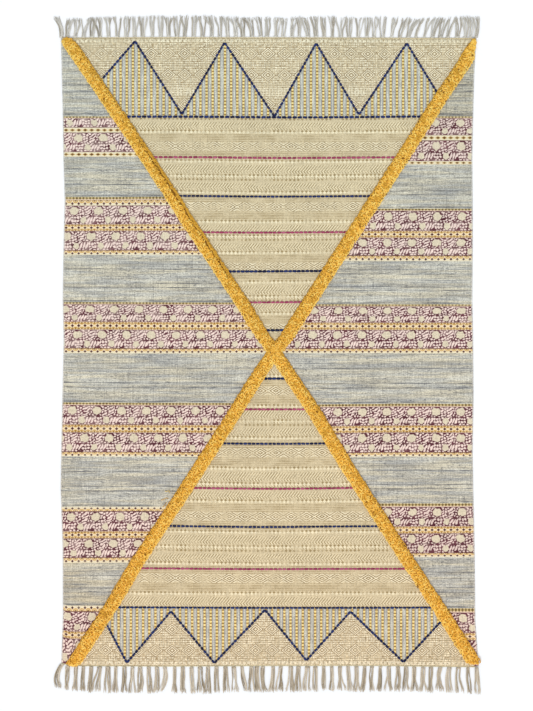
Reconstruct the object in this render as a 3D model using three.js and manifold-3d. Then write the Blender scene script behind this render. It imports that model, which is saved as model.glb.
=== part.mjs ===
// A flat-woven cotton dhurrie, 1.21 m by 1.85 m between its fringes, lying flat and face up.
// The cloth is one thin sheet with slightly uneven selvedges. Four tufted bars make a cross on
// its face, and each woven end is finished with a narrow twined strip that holds knotted tassels.
// Frame: millimetres, +Z up, the length along Y, the underside on z = 0.
import * as THREE from "three";
import Module from "manifold-3d";

// Driving sizes
const GAP = 0.3; // clearance between two pieces that lie against each other
const CLOTH_THICKNESS = 4;
const EDGE_ROUNDING = 1.2; // the selvedges and ends are rounded over by this much
const TUFT_WIDTH = 47; // measured along X, so about 39 across the slanting bar
const TUFT_EDGE_HEIGHT = 3.5; // the pile's height at the rim of a bar
const TUFT_CROWN = 5.2; // how much higher the pile stands along the bar's middle
const TUFT_LUMP = 1.1; // unevenness of the looped pile, in height and at the rim
const TUFT_STEP = 15; // spacing of the cross sections along a bar
const STRIP_DEPTH = 5; // the twined strip at each end, along Y
const STRIP_HEIGHT = 3.6;
const TASSEL_START = 2; // from the cloth's end to where a tassel leaves the strip
const TASSEL_BEND = 1.3; // a tassel leans by its length's share to this power
const LOCK_TAPER = 0.68; // a lock's width on top, as a share of its width on the floor
const WIDE_SPREAD = 5.2; // a tassel that fans out this far or more has a third lock
const ROOT_SCATTER = 1.2; // unevenness of the tassels' roots, leans and lengths
const LEAN_SCATTER = 1.5;
const REACH_SCATTER = 2.5;

// Side selvedges, from the top end to the bottom end.
const SELVEDGES = [
  { y: 929, left: -610, right: 614 },
  { y: 832, left: -608, right: 608 },
  { y: 726, left: -605, right: 605 },
  { y: 584, left: -603, right: 602 },
  { y: 454, left: -599, right: 603 },
  { y: 336, left: -602, right: 603.5 },
  { y: 159, left: -605, right: 602 },
  { y: 41, left: -602, right: 604.5 },
  { y: -136, left: -606, right: 605.5 },
  { y: -283, left: -609, right: 603 },
  { y: -401, left: -611, right: 605 },
  { y: -578, left: -605, right: 609 },
  { y: -785, left: -604.5, right: 611 },
  { y: -917, left: -609, right: 621 },
];

// The two woven ends bow a little. The first and last rows are corners, but for the one at the
// bottom right, which lies out at the selvedge's last row.
const ENDS = [
  { x: -609.5, top: 929.5, bottom: -917.5 },
  { x: -300, top: 931.5, bottom: -919 },
  { x: 0, top: 931, bottom: -917.5 },
  { x: 300, top: 930, bottom: -917 },
  { x: 613, top: 929, bottom: -921 },
];

// Middle lines of the four tufted bars, from the crossing out to the cloth's ends.
const CROSSING = { x: 19, y: 6 };
const TUFTS = {
  tuft_upper_left: [
    { x: -196, y: 336 },
    { x: -383.5, y: 619.5 },
    { x: -478, y: 761 },
    { x: -590, y: 924 },
  ],
  tuft_upper_right: [
    { x: 237.5, y: 336 },
    { x: 420.5, y: 619.5 },
    { x: 507.5, y: 761 },
    { x: 612, y: 917 },
  ],
  tuft_lower_left: [
    { x: -197.5, y: -324.5 },
    { x: -382, y: -607.5 },
    { x: -466, y: -749.5 },
    { x: -573, y: -912 },
  ],
  tuft_lower_right: [
    { x: 144.5, y: -183 },
    { x: 228.5, y: -324.5 },
    { x: 408.5, y: -607.5 },
    { x: 503, y: -749.5 },
    { x: 606, y: -910 },
  ],
};

// Sections of a tassel's locks: their share of its length, the share of its fan, and their size.
const MAIN_LOCK = {
  inStrip: { share: 0, fan: 0, width: 7.7, height: 3.2 },
  knot: { share: 0.11, fan: 0, width: 11, height: 6.4 },
  neck: { share: 0.22, fan: 0, width: 6.8, height: 4.2 },
  middle: { share: 0.6, fan: 1, width: 7.2, height: 3.4 },
  tip: { share: 1, fan: 1, width: 5, height: 1.9 },
};
const SIDE_LOCK = {
  root: { share: 0.14, fan: 0.5, width: 5, height: 3.4 },
  middle: { share: 0.6, fan: 1, width: 6.5, height: 3.1 },
  tip: { share: 0.95, fan: 1, width: 4.3, height: 1.7 },
};

// How the tassels lie along each end, for some of them by number, with those between worked out
// evenly: where a tassel is rooted, its sideways lean and the half width of its fan at the tip,
// the bulge of one that curls on its way, and its reach beyond the cloth's end.
const FRINGES = {
  fringe_top: {
    side: 1,
    rows: [
      { tassel: 0, x: -609, lean: -14, spread: 4, bulge: 4, reach: 67 },
      { tassel: 1, x: -593, lean: 9, spread: 5, bulge: 0, reach: 60 },
      { tassel: 4, x: -519, lean: 6, spread: 6, bulge: 0, reach: 61 },
      { tassel: 5, x: -495, lean: -9, spread: 6, bulge: 0, reach: 62 },
      { tassel: 7, x: -445, lean: 0, spread: 7, bulge: 0, reach: 63 },
      { tassel: 9, x: -393, lean: 4, spread: 6, bulge: 0, reach: 63 },
      { tassel: 12, x: -317, lean: -3, spread: 7, bulge: 0, reach: 64 },
      { tassel: 15, x: -245, lean: 4, spread: 8, bulge: 0, reach: 65 },
      { tassel: 16, x: -219, lean: 4, spread: 6, bulge: 0, reach: 65 },
      { tassel: 18, x: -167, lean: -8, spread: 5, bulge: 4, reach: 65 },
      { tassel: 19, x: -142, lean: 0, spread: 6, bulge: 0, reach: 64 },
      { tassel: 22, x: -72, lean: -7, spread: 6, bulge: 0, reach: 62 },
      { tassel: 24, x: -22, lean: -6, spread: 6, bulge: 0, reach: 62 },
      { tassel: 25, x: -3, lean: 6, spread: 5, bulge: 0, reach: 60 },
      { tassel: 29, x: 93, lean: 3, spread: 6, bulge: 0, reach: 62 },
      { tassel: 30, x: 118, lean: -11, spread: 4, bulge: 0, reach: 63 },
      { tassel: 33, x: 190, lean: 0, spread: 6, bulge: 0, reach: 65 },
      { tassel: 36, x: 265, lean: 3, spread: 9, bulge: 0, reach: 60 },
      { tassel: 39, x: 338, lean: 1, spread: 6, bulge: 0, reach: 64 },
      { tassel: 42, x: 413, lean: 23, spread: 6, bulge: 0, reach: 60 },
      { tassel: 47, x: 531, lean: 18, spread: 5, bulge: 0, reach: 61 },
      { tassel: 48, x: 558, lean: 3, spread: 4, bulge: 2, reach: 63 },
      { tassel: 49, x: 579, lean: -6, spread: 5, bulge: 5, reach: 65 },
      { tassel: 51, x: 612, lean: 2, spread: 4, bulge: 4, reach: 66 },
    ],
  },
  fringe_bottom: {
    side: -1,
    rows: [
      { tassel: 0, x: -605, lean: -8, spread: 4, bulge: -13, reach: 76 },
      { tassel: 1, x: -590, lean: -4, spread: 4, bulge: 0, reach: 76 },
      { tassel: 4, x: -521, lean: -4, spread: 5, bulge: 0, reach: 78 },
      { tassel: 5, x: -496, lean: -14, spread: 6, bulge: 0, reach: 76 },
      { tassel: 6, x: -473, lean: -1, spread: 5, bulge: 0, reach: 80 },
      { tassel: 9, x: -400, lean: 0, spread: 6, bulge: 0, reach: 80 },
      { tassel: 11, x: -352, lean: 2, spread: 6, bulge: 0, reach: 78 },
      { tassel: 13, x: -305, lean: -9, spread: 5, bulge: 6, reach: 77 },
      { tassel: 14, x: -276, lean: 1, spread: 6, bulge: 0, reach: 80 },
      { tassel: 17, x: -200, lean: 5, spread: 6, bulge: 0, reach: 80 },
      { tassel: 18, x: -177, lean: -3, spread: 6, bulge: 0, reach: 80 },
      { tassel: 22, x: -76, lean: 10, spread: 5, bulge: 0, reach: 77 },
      { tassel: 23, x: -49, lean: 0, spread: 5, bulge: 0, reach: 79 },
      { tassel: 25, x: -15, lean: 7, spread: 4, bulge: -3, reach: 77 },
      { tassel: 26, x: 14, lean: -4, spread: 6, bulge: 0, reach: 78 },
      { tassel: 30, x: 116, lean: -4, spread: 6, bulge: 0, reach: 78 },
      { tassel: 33, x: 188, lean: 3, spread: 6, bulge: 0, reach: 76 },
      { tassel: 35, x: 237, lean: 7, spread: 6, bulge: 0, reach: 76 },
      { tassel: 37, x: 284, lean: -5, spread: 6, bulge: 0, reach: 77 },
      { tassel: 40, x: 357, lean: 2, spread: 7, bulge: 0, reach: 76 },
      { tassel: 45, x: 481, lean: -2, spread: 6, bulge: 0, reach: 76 },
      { tassel: 46, x: 508, lean: -2, spread: 5, bulge: -6, reach: 75 },
      { tassel: 50, x: 615, lean: 5, spread: 6, bulge: 0, reach: 80 },
    ],
  },
};

const COLOURS = { cloth: 0xd6cba6, tuft: 0xe0a23a, fringe: 0xcfc5b2 };

// Value of a column of a table at a place, along straight lines between its rows.
function along(rows, key, column, place) {
  const rising = rows[rows.length - 1][key] > rows[0][key];
  const sorted = rising ? rows : [...rows].reverse();
  const next = sorted.findIndex((row) => row[key] >= place);
  if (next === 0) return sorted[0][column];
  if (next < 0) return sorted[sorted.length - 1][column];
  const [a, b] = [sorted[next - 1], sorted[next]];
  const share = (place - a[key]) / (b[key] - a[key]);
  return a[column] + share * (b[column] - a[column]);
}

// A repeatable value between -1 and 1 for each pair of whole numbers.
function uneven(index, channel) {
  const wave = Math.sin(index * 12.9898 + channel * 78.233) * 43758.5453;
  return 2 * (wave - Math.floor(wave)) - 1;
}

// One closed body through a row of rings that have the same number of corners.
function loft(rings) {
  const corners = rings[0].length;
  const faces = [];
  for (let i = 0; i + 1 < rings.length; i++) {
    for (let j = 0; j < corners; j++) {
      const [a, b] = [i * corners + j, i * corners + ((j + 1) % corners)];
      faces.push(a, b, b + corners, a, b + corners, a + corners);
    }
  }
  const last = (rings.length - 1) * corners;
  for (let j = 1; j + 1 < corners; j++) {
    faces.push(0, j + 1, j, last, last + j, last + j + 1);
  }
  const geometry = new THREE.BufferGeometry();
  geometry.setAttribute("position", new THREE.Float32BufferAttribute(rings.flat(2), 3));
  geometry.setIndex(faces);
  return geometry;
}

function piece(name, geometry, colour, roughness) {
  geometry.computeVertexNormals();
  const mesh = new THREE.Mesh(
    geometry,
    new THREE.MeshStandardMaterial({ color: colour, roughness, metalness: 0 }),
  );
  mesh.name = name;
  return mesh;
}

// The cloth: its outline raised to a sheet with rounded edges.
function clothGeometry() {
  const outline = [
    ...ENDS.map((row) => new THREE.Vector2(row.x, row.top)),
    ...SELVEDGES.slice(1, -1).map((row) => new THREE.Vector2(row.right, row.y)),
    new THREE.Vector2(SELVEDGES.at(-1).right, ENDS.at(-1).bottom),
    ...ENDS.slice(0, -1).reverse().map((row) => new THREE.Vector2(row.x, row.bottom)),
    ...SELVEDGES.slice(1, -1).reverse().map((row) => new THREE.Vector2(row.left, row.y)),
  ];
  const geometry = new THREE.ExtrudeGeometry(new THREE.Shape(outline), {
    depth: CLOTH_THICKNESS - 2 * EDGE_ROUNDING,
    bevelThickness: EDGE_ROUNDING,
    bevelSize: EDGE_ROUNDING,
    bevelOffset: -EDGE_ROUNDING,
    bevelSegments: 2,
  });
  return geometry.translate(0, 0, EDGE_ROUNDING);
}

// A tufted bar: sections across the slanting middle line, with a lumpy crown. Next to the
// crossing its inner rim stops at the middle, and at a selvedge its outer rim stays on the cloth.
function tuftGeometry(middle, channel) {
  const upward = middle[0].y > CROSSING.y;
  const outward = middle[0].x > CROSSING.x ? 1 : -1;
  const line = [CROSSING, ...middle];
  const start = CROSSING.y + (upward ? GAP : -GAP) / 2;
  const end = middle.at(-1).y;
  const steps = Math.round(Math.abs(end - start) / TUFT_STEP);
  const floor = CLOTH_THICKNESS + GAP;
  const crownPlaces = [1, 0.6, 0, -0.6, -1];
  const rings = [];
  for (let i = 0; i <= steps; i++) {
    const y = start + ((end - start) * i) / steps;
    const x = along(line, "y", "x", y);
    const inner = CROSSING.x + (outward * GAP) / 2;
    const rims = [-1, 1].map((rim) => {
      const edge = x + (rim * TUFT_WIDTH) / 2 + TUFT_LUMP * uneven(i, channel + rim);
      return rim === outward ? edge : outward * Math.max(outward * edge, outward * inner);
    });
    const left = Math.max(rims[0], along(SELVEDGES, "y", "left", y) + EDGE_ROUNDING);
    const right = Math.min(rims[1], along(SELVEDGES, "y", "right", y) - EDGE_ROUNDING);
    const crown = crownPlaces.map((place, j) => [
      (left + right) / 2 + (place * (right - left)) / 2,
      y,
      floor +
        TUFT_EDGE_HEIGHT +
        TUFT_CROWN * Math.sqrt(1 - place * place) +
        TUFT_LUMP * uneven(i, channel + 2 + j),
    ]);
    const ring = [[left, y, floor], [right, y, floor], ...crown];
    rings.push(upward ? ring.reverse() : ring);
  }
  return loft(rings);
}

// A four-sided section of a lock or knot, flat on the floor and narrower on top.
function ring(x, y, width, height) {
  const [base, top] = [width / 2, (LOCK_TAPER * width) / 2];
  return [
    [x - base, y, 0],
    [x + base, y, 0],
    [x + top, y, height],
    [x - top, y, height],
  ];
}

// The twined strip, which follows the cloth's end with a clearance.
function stripGeometry(side) {
  const column = side > 0 ? "top" : "bottom";
  const rings = ENDS.map((row) => {
    const near = row[column] + side * GAP;
    const far = near + side * STRIP_DEPTH;
    const section = [
      [row.x, near, 0],
      [row.x, far, 0],
      [row.x, far, STRIP_HEIGHT],
      [row.x, near, STRIP_HEIGHT],
    ];
    return side > 0 ? section : section.reverse();
  });
  return loft(rings);
}

// One tassel: a main lock that starts in the strip with the knot, and one or two locks that leave
// the knot beside it. Each follows the tassel's lean and bulge, plus its own fan.
function tasselGeometries(fringe, index) {
  const [place, lean, spread, bulge, reach] = ["x", "lean", "spread", "bulge", "reach"].map(
    (column) => along(fringe.rows, "tassel", column, index),
  );
  const root = place + ROOT_SCATTER * uneven(index, 1);
  const sway = lean + LEAN_SCATTER * uneven(index, 3);
  const length = reach - TASSEL_START + REACH_SCATTER * uneven(index, 2);
  const cloth = along(ENDS, "x", fringe.side > 0 ? "top" : "bottom", root);
  const lock = (sections, fan) => {
    const rings = Object.values(sections).map((at) => {
      const lateral = sway * at.share ** TASSEL_BEND + bulge * Math.sin(Math.PI * at.share);
      const outward = fringe.side * (TASSEL_START + length * at.share);
      const x = root + lateral + fan * at.fan * at.share;
      return ring(x, cloth + outward, at.width, at.height);
    });
    return loft(fringe.side > 0 ? rings.map((corners) => corners.reverse()) : rings);
  };
  if (spread < WIDE_SPREAD) return [lock(MAIN_LOCK, -spread / 2), lock(SIDE_LOCK, spread)];
  return [lock(MAIN_LOCK, 0), lock(SIDE_LOCK, -spread), lock(SIDE_LOCK, spread)];
}

const wasm = await Module();
wasm.setup();

function solid(geometry) {
  return new wasm.Manifold(
    new wasm.Mesh({
      numProp: 3,
      vertProperties: geometry.attributes.position.array,
      triVerts: new Uint32Array(geometry.index.array),
    }),
  );
}

// A whole fringe in one body: the strip joined with every lock of its tassels.
function fringeGeometry(fringe) {
  let joined = solid(stripGeometry(fringe.side));
  for (let index = 0; index <= fringe.rows.at(-1).tassel; index++) {
    for (const lock of tasselGeometries(fringe, index)) joined = joined.add(solid(lock));
  }
  const mesh = joined.getMesh();
  const geometry = new THREE.BufferGeometry();
  geometry.setAttribute("position", new THREE.BufferAttribute(mesh.vertProperties, 3));
  geometry.setIndex(new THREE.BufferAttribute(mesh.triVerts, 1));
  return geometry;
}

const rug = new THREE.Group();
rug.add(piece("rug_ground", clothGeometry(), COLOURS.cloth, 0.95));
Object.entries(TUFTS).forEach(([name, middle], arm) => {
  rug.add(piece(name, tuftGeometry(middle, 10 * (arm + 1)), COLOURS.tuft, 0.9));
});
Object.entries(FRINGES).forEach(([name, fringe]) => {
  rug.add(piece(name, fringeGeometry(fringe), COLOURS.fringe, 0.95));
});

export default rug;
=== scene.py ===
"""A flat-woven cotton dhurrie, face up on a pale floor: block-printed bands at both sides, a field
of printed rows between them, a tufted cross, running stitches, and a knotted fringe at each end."""

import math
from functools import partialmethod, reduce

import bpy
import numpy as np
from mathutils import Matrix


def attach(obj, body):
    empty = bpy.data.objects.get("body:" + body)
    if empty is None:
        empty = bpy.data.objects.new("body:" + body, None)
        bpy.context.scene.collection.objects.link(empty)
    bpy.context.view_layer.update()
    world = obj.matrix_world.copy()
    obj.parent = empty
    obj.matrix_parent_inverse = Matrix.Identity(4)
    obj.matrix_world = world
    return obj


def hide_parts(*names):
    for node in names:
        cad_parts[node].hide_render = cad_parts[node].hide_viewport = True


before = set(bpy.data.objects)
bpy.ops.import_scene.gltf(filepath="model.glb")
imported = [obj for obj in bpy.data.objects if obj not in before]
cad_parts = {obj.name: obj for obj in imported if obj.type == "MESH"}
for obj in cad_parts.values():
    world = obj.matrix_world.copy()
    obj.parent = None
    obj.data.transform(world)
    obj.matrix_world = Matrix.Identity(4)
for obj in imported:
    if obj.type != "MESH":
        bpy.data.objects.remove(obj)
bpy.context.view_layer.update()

MM = 0.001  # lengths below are millimetres, and Blender's are metres

# ---------------------------------------------------------------- driving sizes

CLOTH = 4.0  # thickness of the flat weave
SELVEDGE_CORD = 4.0  # width of the thicker outermost warps
COLUMNS = 140  # faces across the cloth
ROW_COUNTS = (36, 230, 28)  # faces along the top end, the banded middle and the bottom end
BAR_WIDTH = 44.5  # of a tufted bar, measured along X
PILE_RIM = 3.5  # pile height at a bar's rim
PILE_CROWN = 5.2  # how much higher it stands along the middle
PILE_GAP = 0.3  # between the cloth and the pile's footing
STRIP_OUT = 1.3  # from the cloth's end to the middle of its twined cord
TASSEL_START = 2.0  # from the cloth's end to where a tassel leaves the strip
TASSEL_BEND = 1.3
SHADES = 12  # yarn shades in a dyed lot; on the pile they also carry painted light and shade

# Side selvedges, from the top end to the bottom end.
SELVEDGES = np.array(
    [  # y, left, right
        (929, -610, 614), (832, -608, 608), (726, -605, 605), (584, -603, 602), (454, -599, 603),
        (336, -602, 603.5), (159, -605, 602), (41, -602, 604.5), (-136, -606, 605.5),
        (-283, -609, 603), (-401, -611, 605), (-578, -605, 609), (-785, -604.5, 611),
        (-917, -609, 621),
    ]
)
# The two woven ends bow a little.
ENDS = np.array(
    [  # x, top, bottom
        (-609.5, 929.5, -909), (-585, 930, -917.5), (-300, 931.5, -919), (0, 931, -917.5),
        (300, 930, -917), (613, 929, -921),
    ]
)
TOP_END, BOTTOM_END = 929.5, -917.5
HALF_LENGTH = 925  # of the cloth
# The rows' sag: its depth, half its width, and how far from the crossing it is full.
SAG, SAG_HALF_WIDTH, SAG_START = 2.4, 260, 300
TOP_BOW, BOTTOM_BOW = (620, 310), (610, 308)  # where an end's bow starts, and over what length

# Middle lines of the tufted bars, from the crossing out to the cloth's ends.
CROSSING = (19, 6)
BARS = {
    "upper_left": np.array(
        [CROSSING, (-20, 59), (-63, 130), (-199, 336), (-242.5, 400), (-279.5, 460),
         (-384.5, 619.5), (-480.5, 761), (-591, 924)]
    ),
    "upper_right": np.array(
        [CROSSING, (52, 45), (91, 106), (239, 336), (422.5, 619.5), (513, 761), (584, 865),
         (595, 897), (606, 920)]
    ),
    "lower_left": np.array(
        [CROSSING, (-30, -65), (-127, -220), (-195, -324.5), (-276.5, -450), (-381, -607.5),
         (-466, -749.5), (-573, -912)]
    ),
    "lower_right": np.array(
        [CROSSING, (144.5, -183), (228.5, -324.5), (410.5, -607.5), (505.5, -749.5), (606, -907)]
    ),
}

# Stripes down each side: the pattern, its upper edge, and where a large blossom's middle lies.
LEFT_STRIPES = [
    ("streaks", 930, 0), ("beads", 700, 0), ("half_flowers", 694.5, 41), ("dashes", 667.5, 0),
    ("flowers", 652.5, 22), ("dashes", 596, 0), ("streaks", 581.5, 0), ("beads", 463.5, 0),
    ("scallop", 455, 0), ("flowers", 438.5, 9), ("scallops", 383, 0), ("flowers", 363.5, 60),
    ("scallop", 306, 0), ("streaks", 293, 0), ("beads", 153, 0), ("flowers", 146.5, 55),
    ("scallops", 95, 0), ("flowers", 72, 19), ("scallop", 16.5, 0), ("streaks", 2.5, 0),
    ("beads", -143.5, 0), ("flowers", -151, 4), ("scallops", -208.5, 0), ("flowers", -231.5, 40),
    ("scallop", -289, 0), ("streaks", -302, 0), ("raised_scallop", -451, 0), ("flowers", -464, 0),
    ("scallops", -523, 0), ("flowers", -543.5, 52), ("scallop", -600.5, 0), ("streaks", -615.5, 0),
    ("raised_scallop", -742, 0), ("flowers", -759, 62), ("scallops", -818, 0),
    ("flowers", -839, 26),
]
RIGHT_STRIPES = [
    ("streaks", 930, 0), ("beads", 700, 0), ("flowers", 694.5, 58), ("dashes", 645, 0),
    ("flowers", 629.5, 61), ("dashes", 569, 0), ("streaks", 558.5, 0), ("beads", 429, 0),
    ("flowers", 422.5, 64), ("scallops", 363.5, 0), ("flowers", 343.5, 61), ("scallop", 290.5, 0),
    ("streaks", 275, 0), ("beads", 146.5, 0), ("flowers", 140.5, 62), ("scallops", 92.5, 0),
    ("flowers", 71, 59), ("scallop", 15.5, 0), ("streaks", 2, 0), ("beads", -147.5, 0),
    ("flowers", -156, 60), ("scallops", -211.5, 0), ("flowers", -232, 60), ("scallop", -290.5, 0),
    ("streaks", -302.5, 0), ("beads", -440.5, 0), ("flowers", -450.5, 63), ("scallops", -508, 0),
    ("flowers", -528.5, 60), ("scallop", -586.5, 0), ("streaks", -598, 0), ("beads", -748.5, 0),
    ("flowers", -761, 66), ("scallops", -820, 0), ("flowers", -841, 60),
]
SECTION_EDGES = ((700, 700), (-742, -748.5))  # left and right place of the lines that part the ends

# Printed rows of the field repeat from one row of lattice diamonds to the next.
LATTICE_ROWS = [792, 613, 435.5, 258.5, 76.5, -107.5, -288, -477, -660, -839.5]
FIELD_REPEAT = 180.0
BOTTOM_PRINT_SHIFT = 12.1  # how far to the right the bottom end's print lies

NAVY_LINES = [699.6, 466, 245, 70, -72, -262, -507, -747]
MAGENTA_LINES = [580, 360, 153, -161.5, -394, -632]
ZIGZAG_TOP = np.array(
    [(-487, 812), (-392, 922), (-254, 707), (-128, 918), (19, 702), (142, 916), (268, 707),
     (409, 916), (498, 771)]
)
ZIGZAG_BOTTOM = np.array(
    [(-476, -796), (-416, -910), (-286, -758), (-158, -911), (-9, -753), (113, -903), (243, -758),
     (399, -908), (509, -789)]
)

# How the tassels lie along each end, for some of them by number, with those between worked out
# evenly: root, sideways lean, half width of the fan at the tip, bulge, and reach past the end.
FRINGES = {
    "fringe_top": (1, np.array([  # tassel, x, lean, spread, bulge, reach
        (0, -609, -14, 4, 4, 67), (1, -593, 9, 5, 0, 60), (4, -519, 6, 6, 0, 61),
        (5, -495, -9, 6, 0, 62), (7, -445, 0, 7, 0, 63), (9, -393, 4, 6, 0, 63),
        (12, -317, -3, 7, 0, 64), (15, -245, 4, 8, 0, 65), (16, -219, 4, 6, 0, 65),
        (18, -167, -8, 5, 4, 65), (19, -142, 0, 6, 0, 64), (22, -72, -7, 6, 0, 62),
        (24, -22, -6, 6, 0, 62), (25, -3, 6, 5, 0, 60), (29, 93, 3, 6, 0, 62),
        (30, 118, -11, 4, 0, 63), (33, 190, 0, 6, 0, 65), (36, 265, 3, 9, 0, 60),
        (39, 338, 1, 6, 0, 64), (42, 413, 23, 6, 0, 60), (47, 531, 18, 5, 0, 61),
        (48, 558, 3, 4, 2, 63), (49, 579, -6, 5, 5, 65), (51, 612, 2, 4, 4, 66),
    ])),
    "fringe_bottom": (-1, np.array([
        (0, -605, -8, 4, -13, 76), (1, -590, -4, 4, 0, 76), (4, -521, -4, 5, 0, 78),
        (5, -496, -14, 6, 0, 76), (6, -473, -1, 5, 0, 80), (9, -400, 0, 6, 0, 80),
        (11, -352, 2, 6, 0, 78), (13, -305, -9, 5, 6, 77), (14, -276, 1, 6, 0, 80),
        (17, -200, 5, 6, 0, 80), (18, -177, -3, 6, 0, 80), (22, -76, 10, 5, 0, 77),
        (23, -49, 0, 5, 0, 79), (25, -15, 7, 4, -3, 77), (26, 14, -4, 6, 0, 78),
        (30, 116, -4, 6, 0, 78), (33, 188, 3, 6, 0, 76), (35, 237, 7, 6, 0, 76),
        (37, 284, -5, 6, 0, 77), (40, 357, 2, 7, 0, 76), (45, 481, -2, 6, 0, 76),
        (46, 508, -2, 5, -6, 75), (50, 615, 5, 6, 0, 80),
    ])),
}


# ---------------------------------------------------------------- shader building blocks


def dyed(red, green, blue):
    """A dye colour, given as display values up to 255, in the linear form that shaders use."""
    levels = np.array([red, green, blue]) / 255
    linear = np.where(levels <= 0.04045, levels / 12.92, ((levels + 0.055) / 1.055) ** 2.4)
    return (*linear.tolist(), 1.0)


class Value:
    """A shader value; arithmetic on it adds the matching Math nodes to its tree."""

    def __init__(self, tree, socket):
        self.tree = tree
        self.socket = socket

    def math(self, operation, *others, clamp=False):
        node = self.tree.nodes.new("ShaderNodeMath")
        node.operation = operation
        node.use_clamp = clamp
        for place, value in enumerate((self, *others)):
            feed(self.tree, node.inputs[place], value)
        return Value(self.tree, node.outputs[0])

    __add__ = partialmethod(math, "ADD")
    __sub__ = partialmethod(math, "SUBTRACT")
    __mul__ = partialmethod(math, "MULTIPLY")
    __truediv__ = partialmethod(math, "DIVIDE")
    __abs__ = partialmethod(math, "ABSOLUTE")
    larger = partialmethod(math, "MAXIMUM")
    smaller = partialmethod(math, "MINIMUM")


def feed(tree, socket, value):
    """Links a value to a socket, or sets the socket where the value is a plain number."""
    if isinstance(value, Value):
        tree.links.new(value.socket, socket)
    else:
        socket.default_value = value


def add_node(tree, kind, output=0, inputs=None, **settings):
    """Adds one node with its settings and inputs, and gives the value of one output."""
    node = tree.nodes.new(kind)
    for name, setting in settings.items():
        setattr(node, name, setting)
    for socket, value in (inputs or {}).items():
        feed(tree, node.inputs[socket], value)
    return Value(tree, node.outputs[output])


def cell(value, pitch, shift=0.0):
    """Signed distance from the middle of the repeat that a point lies in."""
    return (((value + shift) / pitch).math("FRACT") - 0.5) * pitch


def ramp(value, start, stop):
    """Nothing before the start and one past the stop, smooth between them."""
    return add_node(
        value.tree,
        "ShaderNodeMapRange",
        inputs={"Value": value, "From Min": start, "From Max": stop},
        interpolation_type="SMOOTHSTEP",
    )


def within(distance, edge, soft):
    """One where the distance is under the edge, and nothing past a soft rim."""
    return ramp(distance, edge + soft, edge - soft)


def above(value, edge, soft):
    """One where the value is over the edge, and nothing under a soft rim."""
    return ramp(value, edge - soft, edge + soft)


def between(value, first, last, soft=0.6):
    """One from the first place to the last."""
    return within(abs(value - (first + last) / 2), (last - first) / 2, soft)


def largest(values):
    return reduce(Value.larger, values)


def nearest(value, rows):
    """Distance from a value to the nearest of some rows."""
    return reduce(Value.smaller, [abs(value - row) for row in rows])


def mixed(share, first, second, blend="MIX"):
    """The first colour, with a share of the second laid over it."""
    tree = share.tree if isinstance(share, Value) else first.tree
    inputs = {"Factor": share, 6: first, 7: second}
    return add_node(tree, "ShaderNodeMix", 2, inputs, data_type="RGBA", blend_type=blend)


def grey(level):
    """A grey of the given level, to multiply colours with."""
    inputs = {"Red": level, "Green": level, "Blue": level}
    return add_node(level.tree, "ShaderNodeCombineColor", inputs=inputs)


def vector(tree, across, down, depth=0.0):
    return add_node(tree, "ShaderNodeCombineXYZ", inputs={"X": across, "Y": down, "Z": depth})


def split(point):
    """The first and the second number of a vector."""
    node = point.tree.nodes.new("ShaderNodeSeparateXYZ")
    feed(point.tree, node.inputs[0], point)
    return Value(point.tree, node.outputs["X"]), Value(point.tree, node.outputs["Y"])


def noise(across, down, width, height, detail=2.0, roughness=0.5, depth=0.0):
    """Cloudy noise with cells of about the given width and height."""
    place = vector(across.tree, across / width, down / height, depth)
    inputs = {"Vector": place, "Scale": 1.0, "Detail": detail, "Roughness": roughness}
    return add_node(across.tree, "ShaderNodeTexNoise", inputs=inputs)


SOCKETS = {1: "NodeSocketFloat", 3: "NodeSocketVector", 4: "NodeSocketColor"}


def new_group(name, inputs, outputs=("Mask",)):
    """An empty shader group, and its inputs as values. How many numbers an input starts with says
    what kind it is. An output is a float, or a colour if it is called Color."""
    tree = bpy.data.node_groups.new(name, "ShaderNodeTree")
    for label, value in inputs.items():
        kind = SOCKETS[np.size(value)]
        socket = tree.interface.new_socket(name=label, in_out="INPUT", socket_type=kind)
        socket.default_value = value
    for label in outputs:
        kind = SOCKETS[4 if label == "Color" else 1]
        tree.interface.new_socket(name=label, in_out="OUTPUT", socket_type=kind)
    entry = tree.nodes.new("NodeGroupInput")
    return tree, [Value(tree, entry.outputs[label]) for label in inputs]


def close_group(tree, **results):
    leave = tree.nodes.new("NodeGroupOutput")
    for label, value in results.items():
        feed(tree, leave.inputs[label], value)
    return tree


def use_group(tree, group, output, **inputs):
    """Places a group, with its inputs by name, and gives the values of its outputs."""
    node = tree.nodes.new("ShaderNodeGroup")
    node.node_tree = group
    for label, value in inputs.items():
        feed(tree, node.inputs[label.replace("_", " ")], value)
    if isinstance(output, str):
        return Value(tree, node.outputs[output])
    return [Value(tree, node.outputs[label]) for label in output]


def weave_group():
    """Flat weave. A weft thread is round across its pitch, 1 - (2f - 1)^2, and dips under every
    other warp, by the cosine of its place along the warps with alternate threads half a step on.
    The tone changes in slubs along a thread, in short lengths where a warp covers it, and in faint
    lines down the warps."""
    tree, (across, down, rib, warp, slub, grain) = new_group(
        "Flat weave",
        {"Across": 0, "Down": 0, "Rib": 3.0, "Warp": 5.0, "Slub": 0.4, "Grain": 0.4},
        ("Height", "Tone"),
    )
    thread = down / rib
    place = thread.math("FRACT") * 2 - 1
    rounded = (place * place) * -1 + 1
    step = across / warp + thread.math("FLOOR") * 0.5
    dip = (step * math.tau).math("COSINE") * 0.5 + 0.5
    height = rounded * (dip * 0.5 + 0.5)
    slubs = noise(across, down, 55, 3.0, detail=3, roughness=0.6) - 0.5
    ticks = noise(across, down, 4.6, 3.1, detail=1, depth=7.0) - 0.5
    warps = noise(across, down, 3.4, 46, detail=1, depth=11.0) - 0.5
    tone = slubs * slub + (ticks + warps * 0.5) * grain + 1.0
    return close_group(tree, Height=height + ticks * 0.8, Tone=tone)


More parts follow.
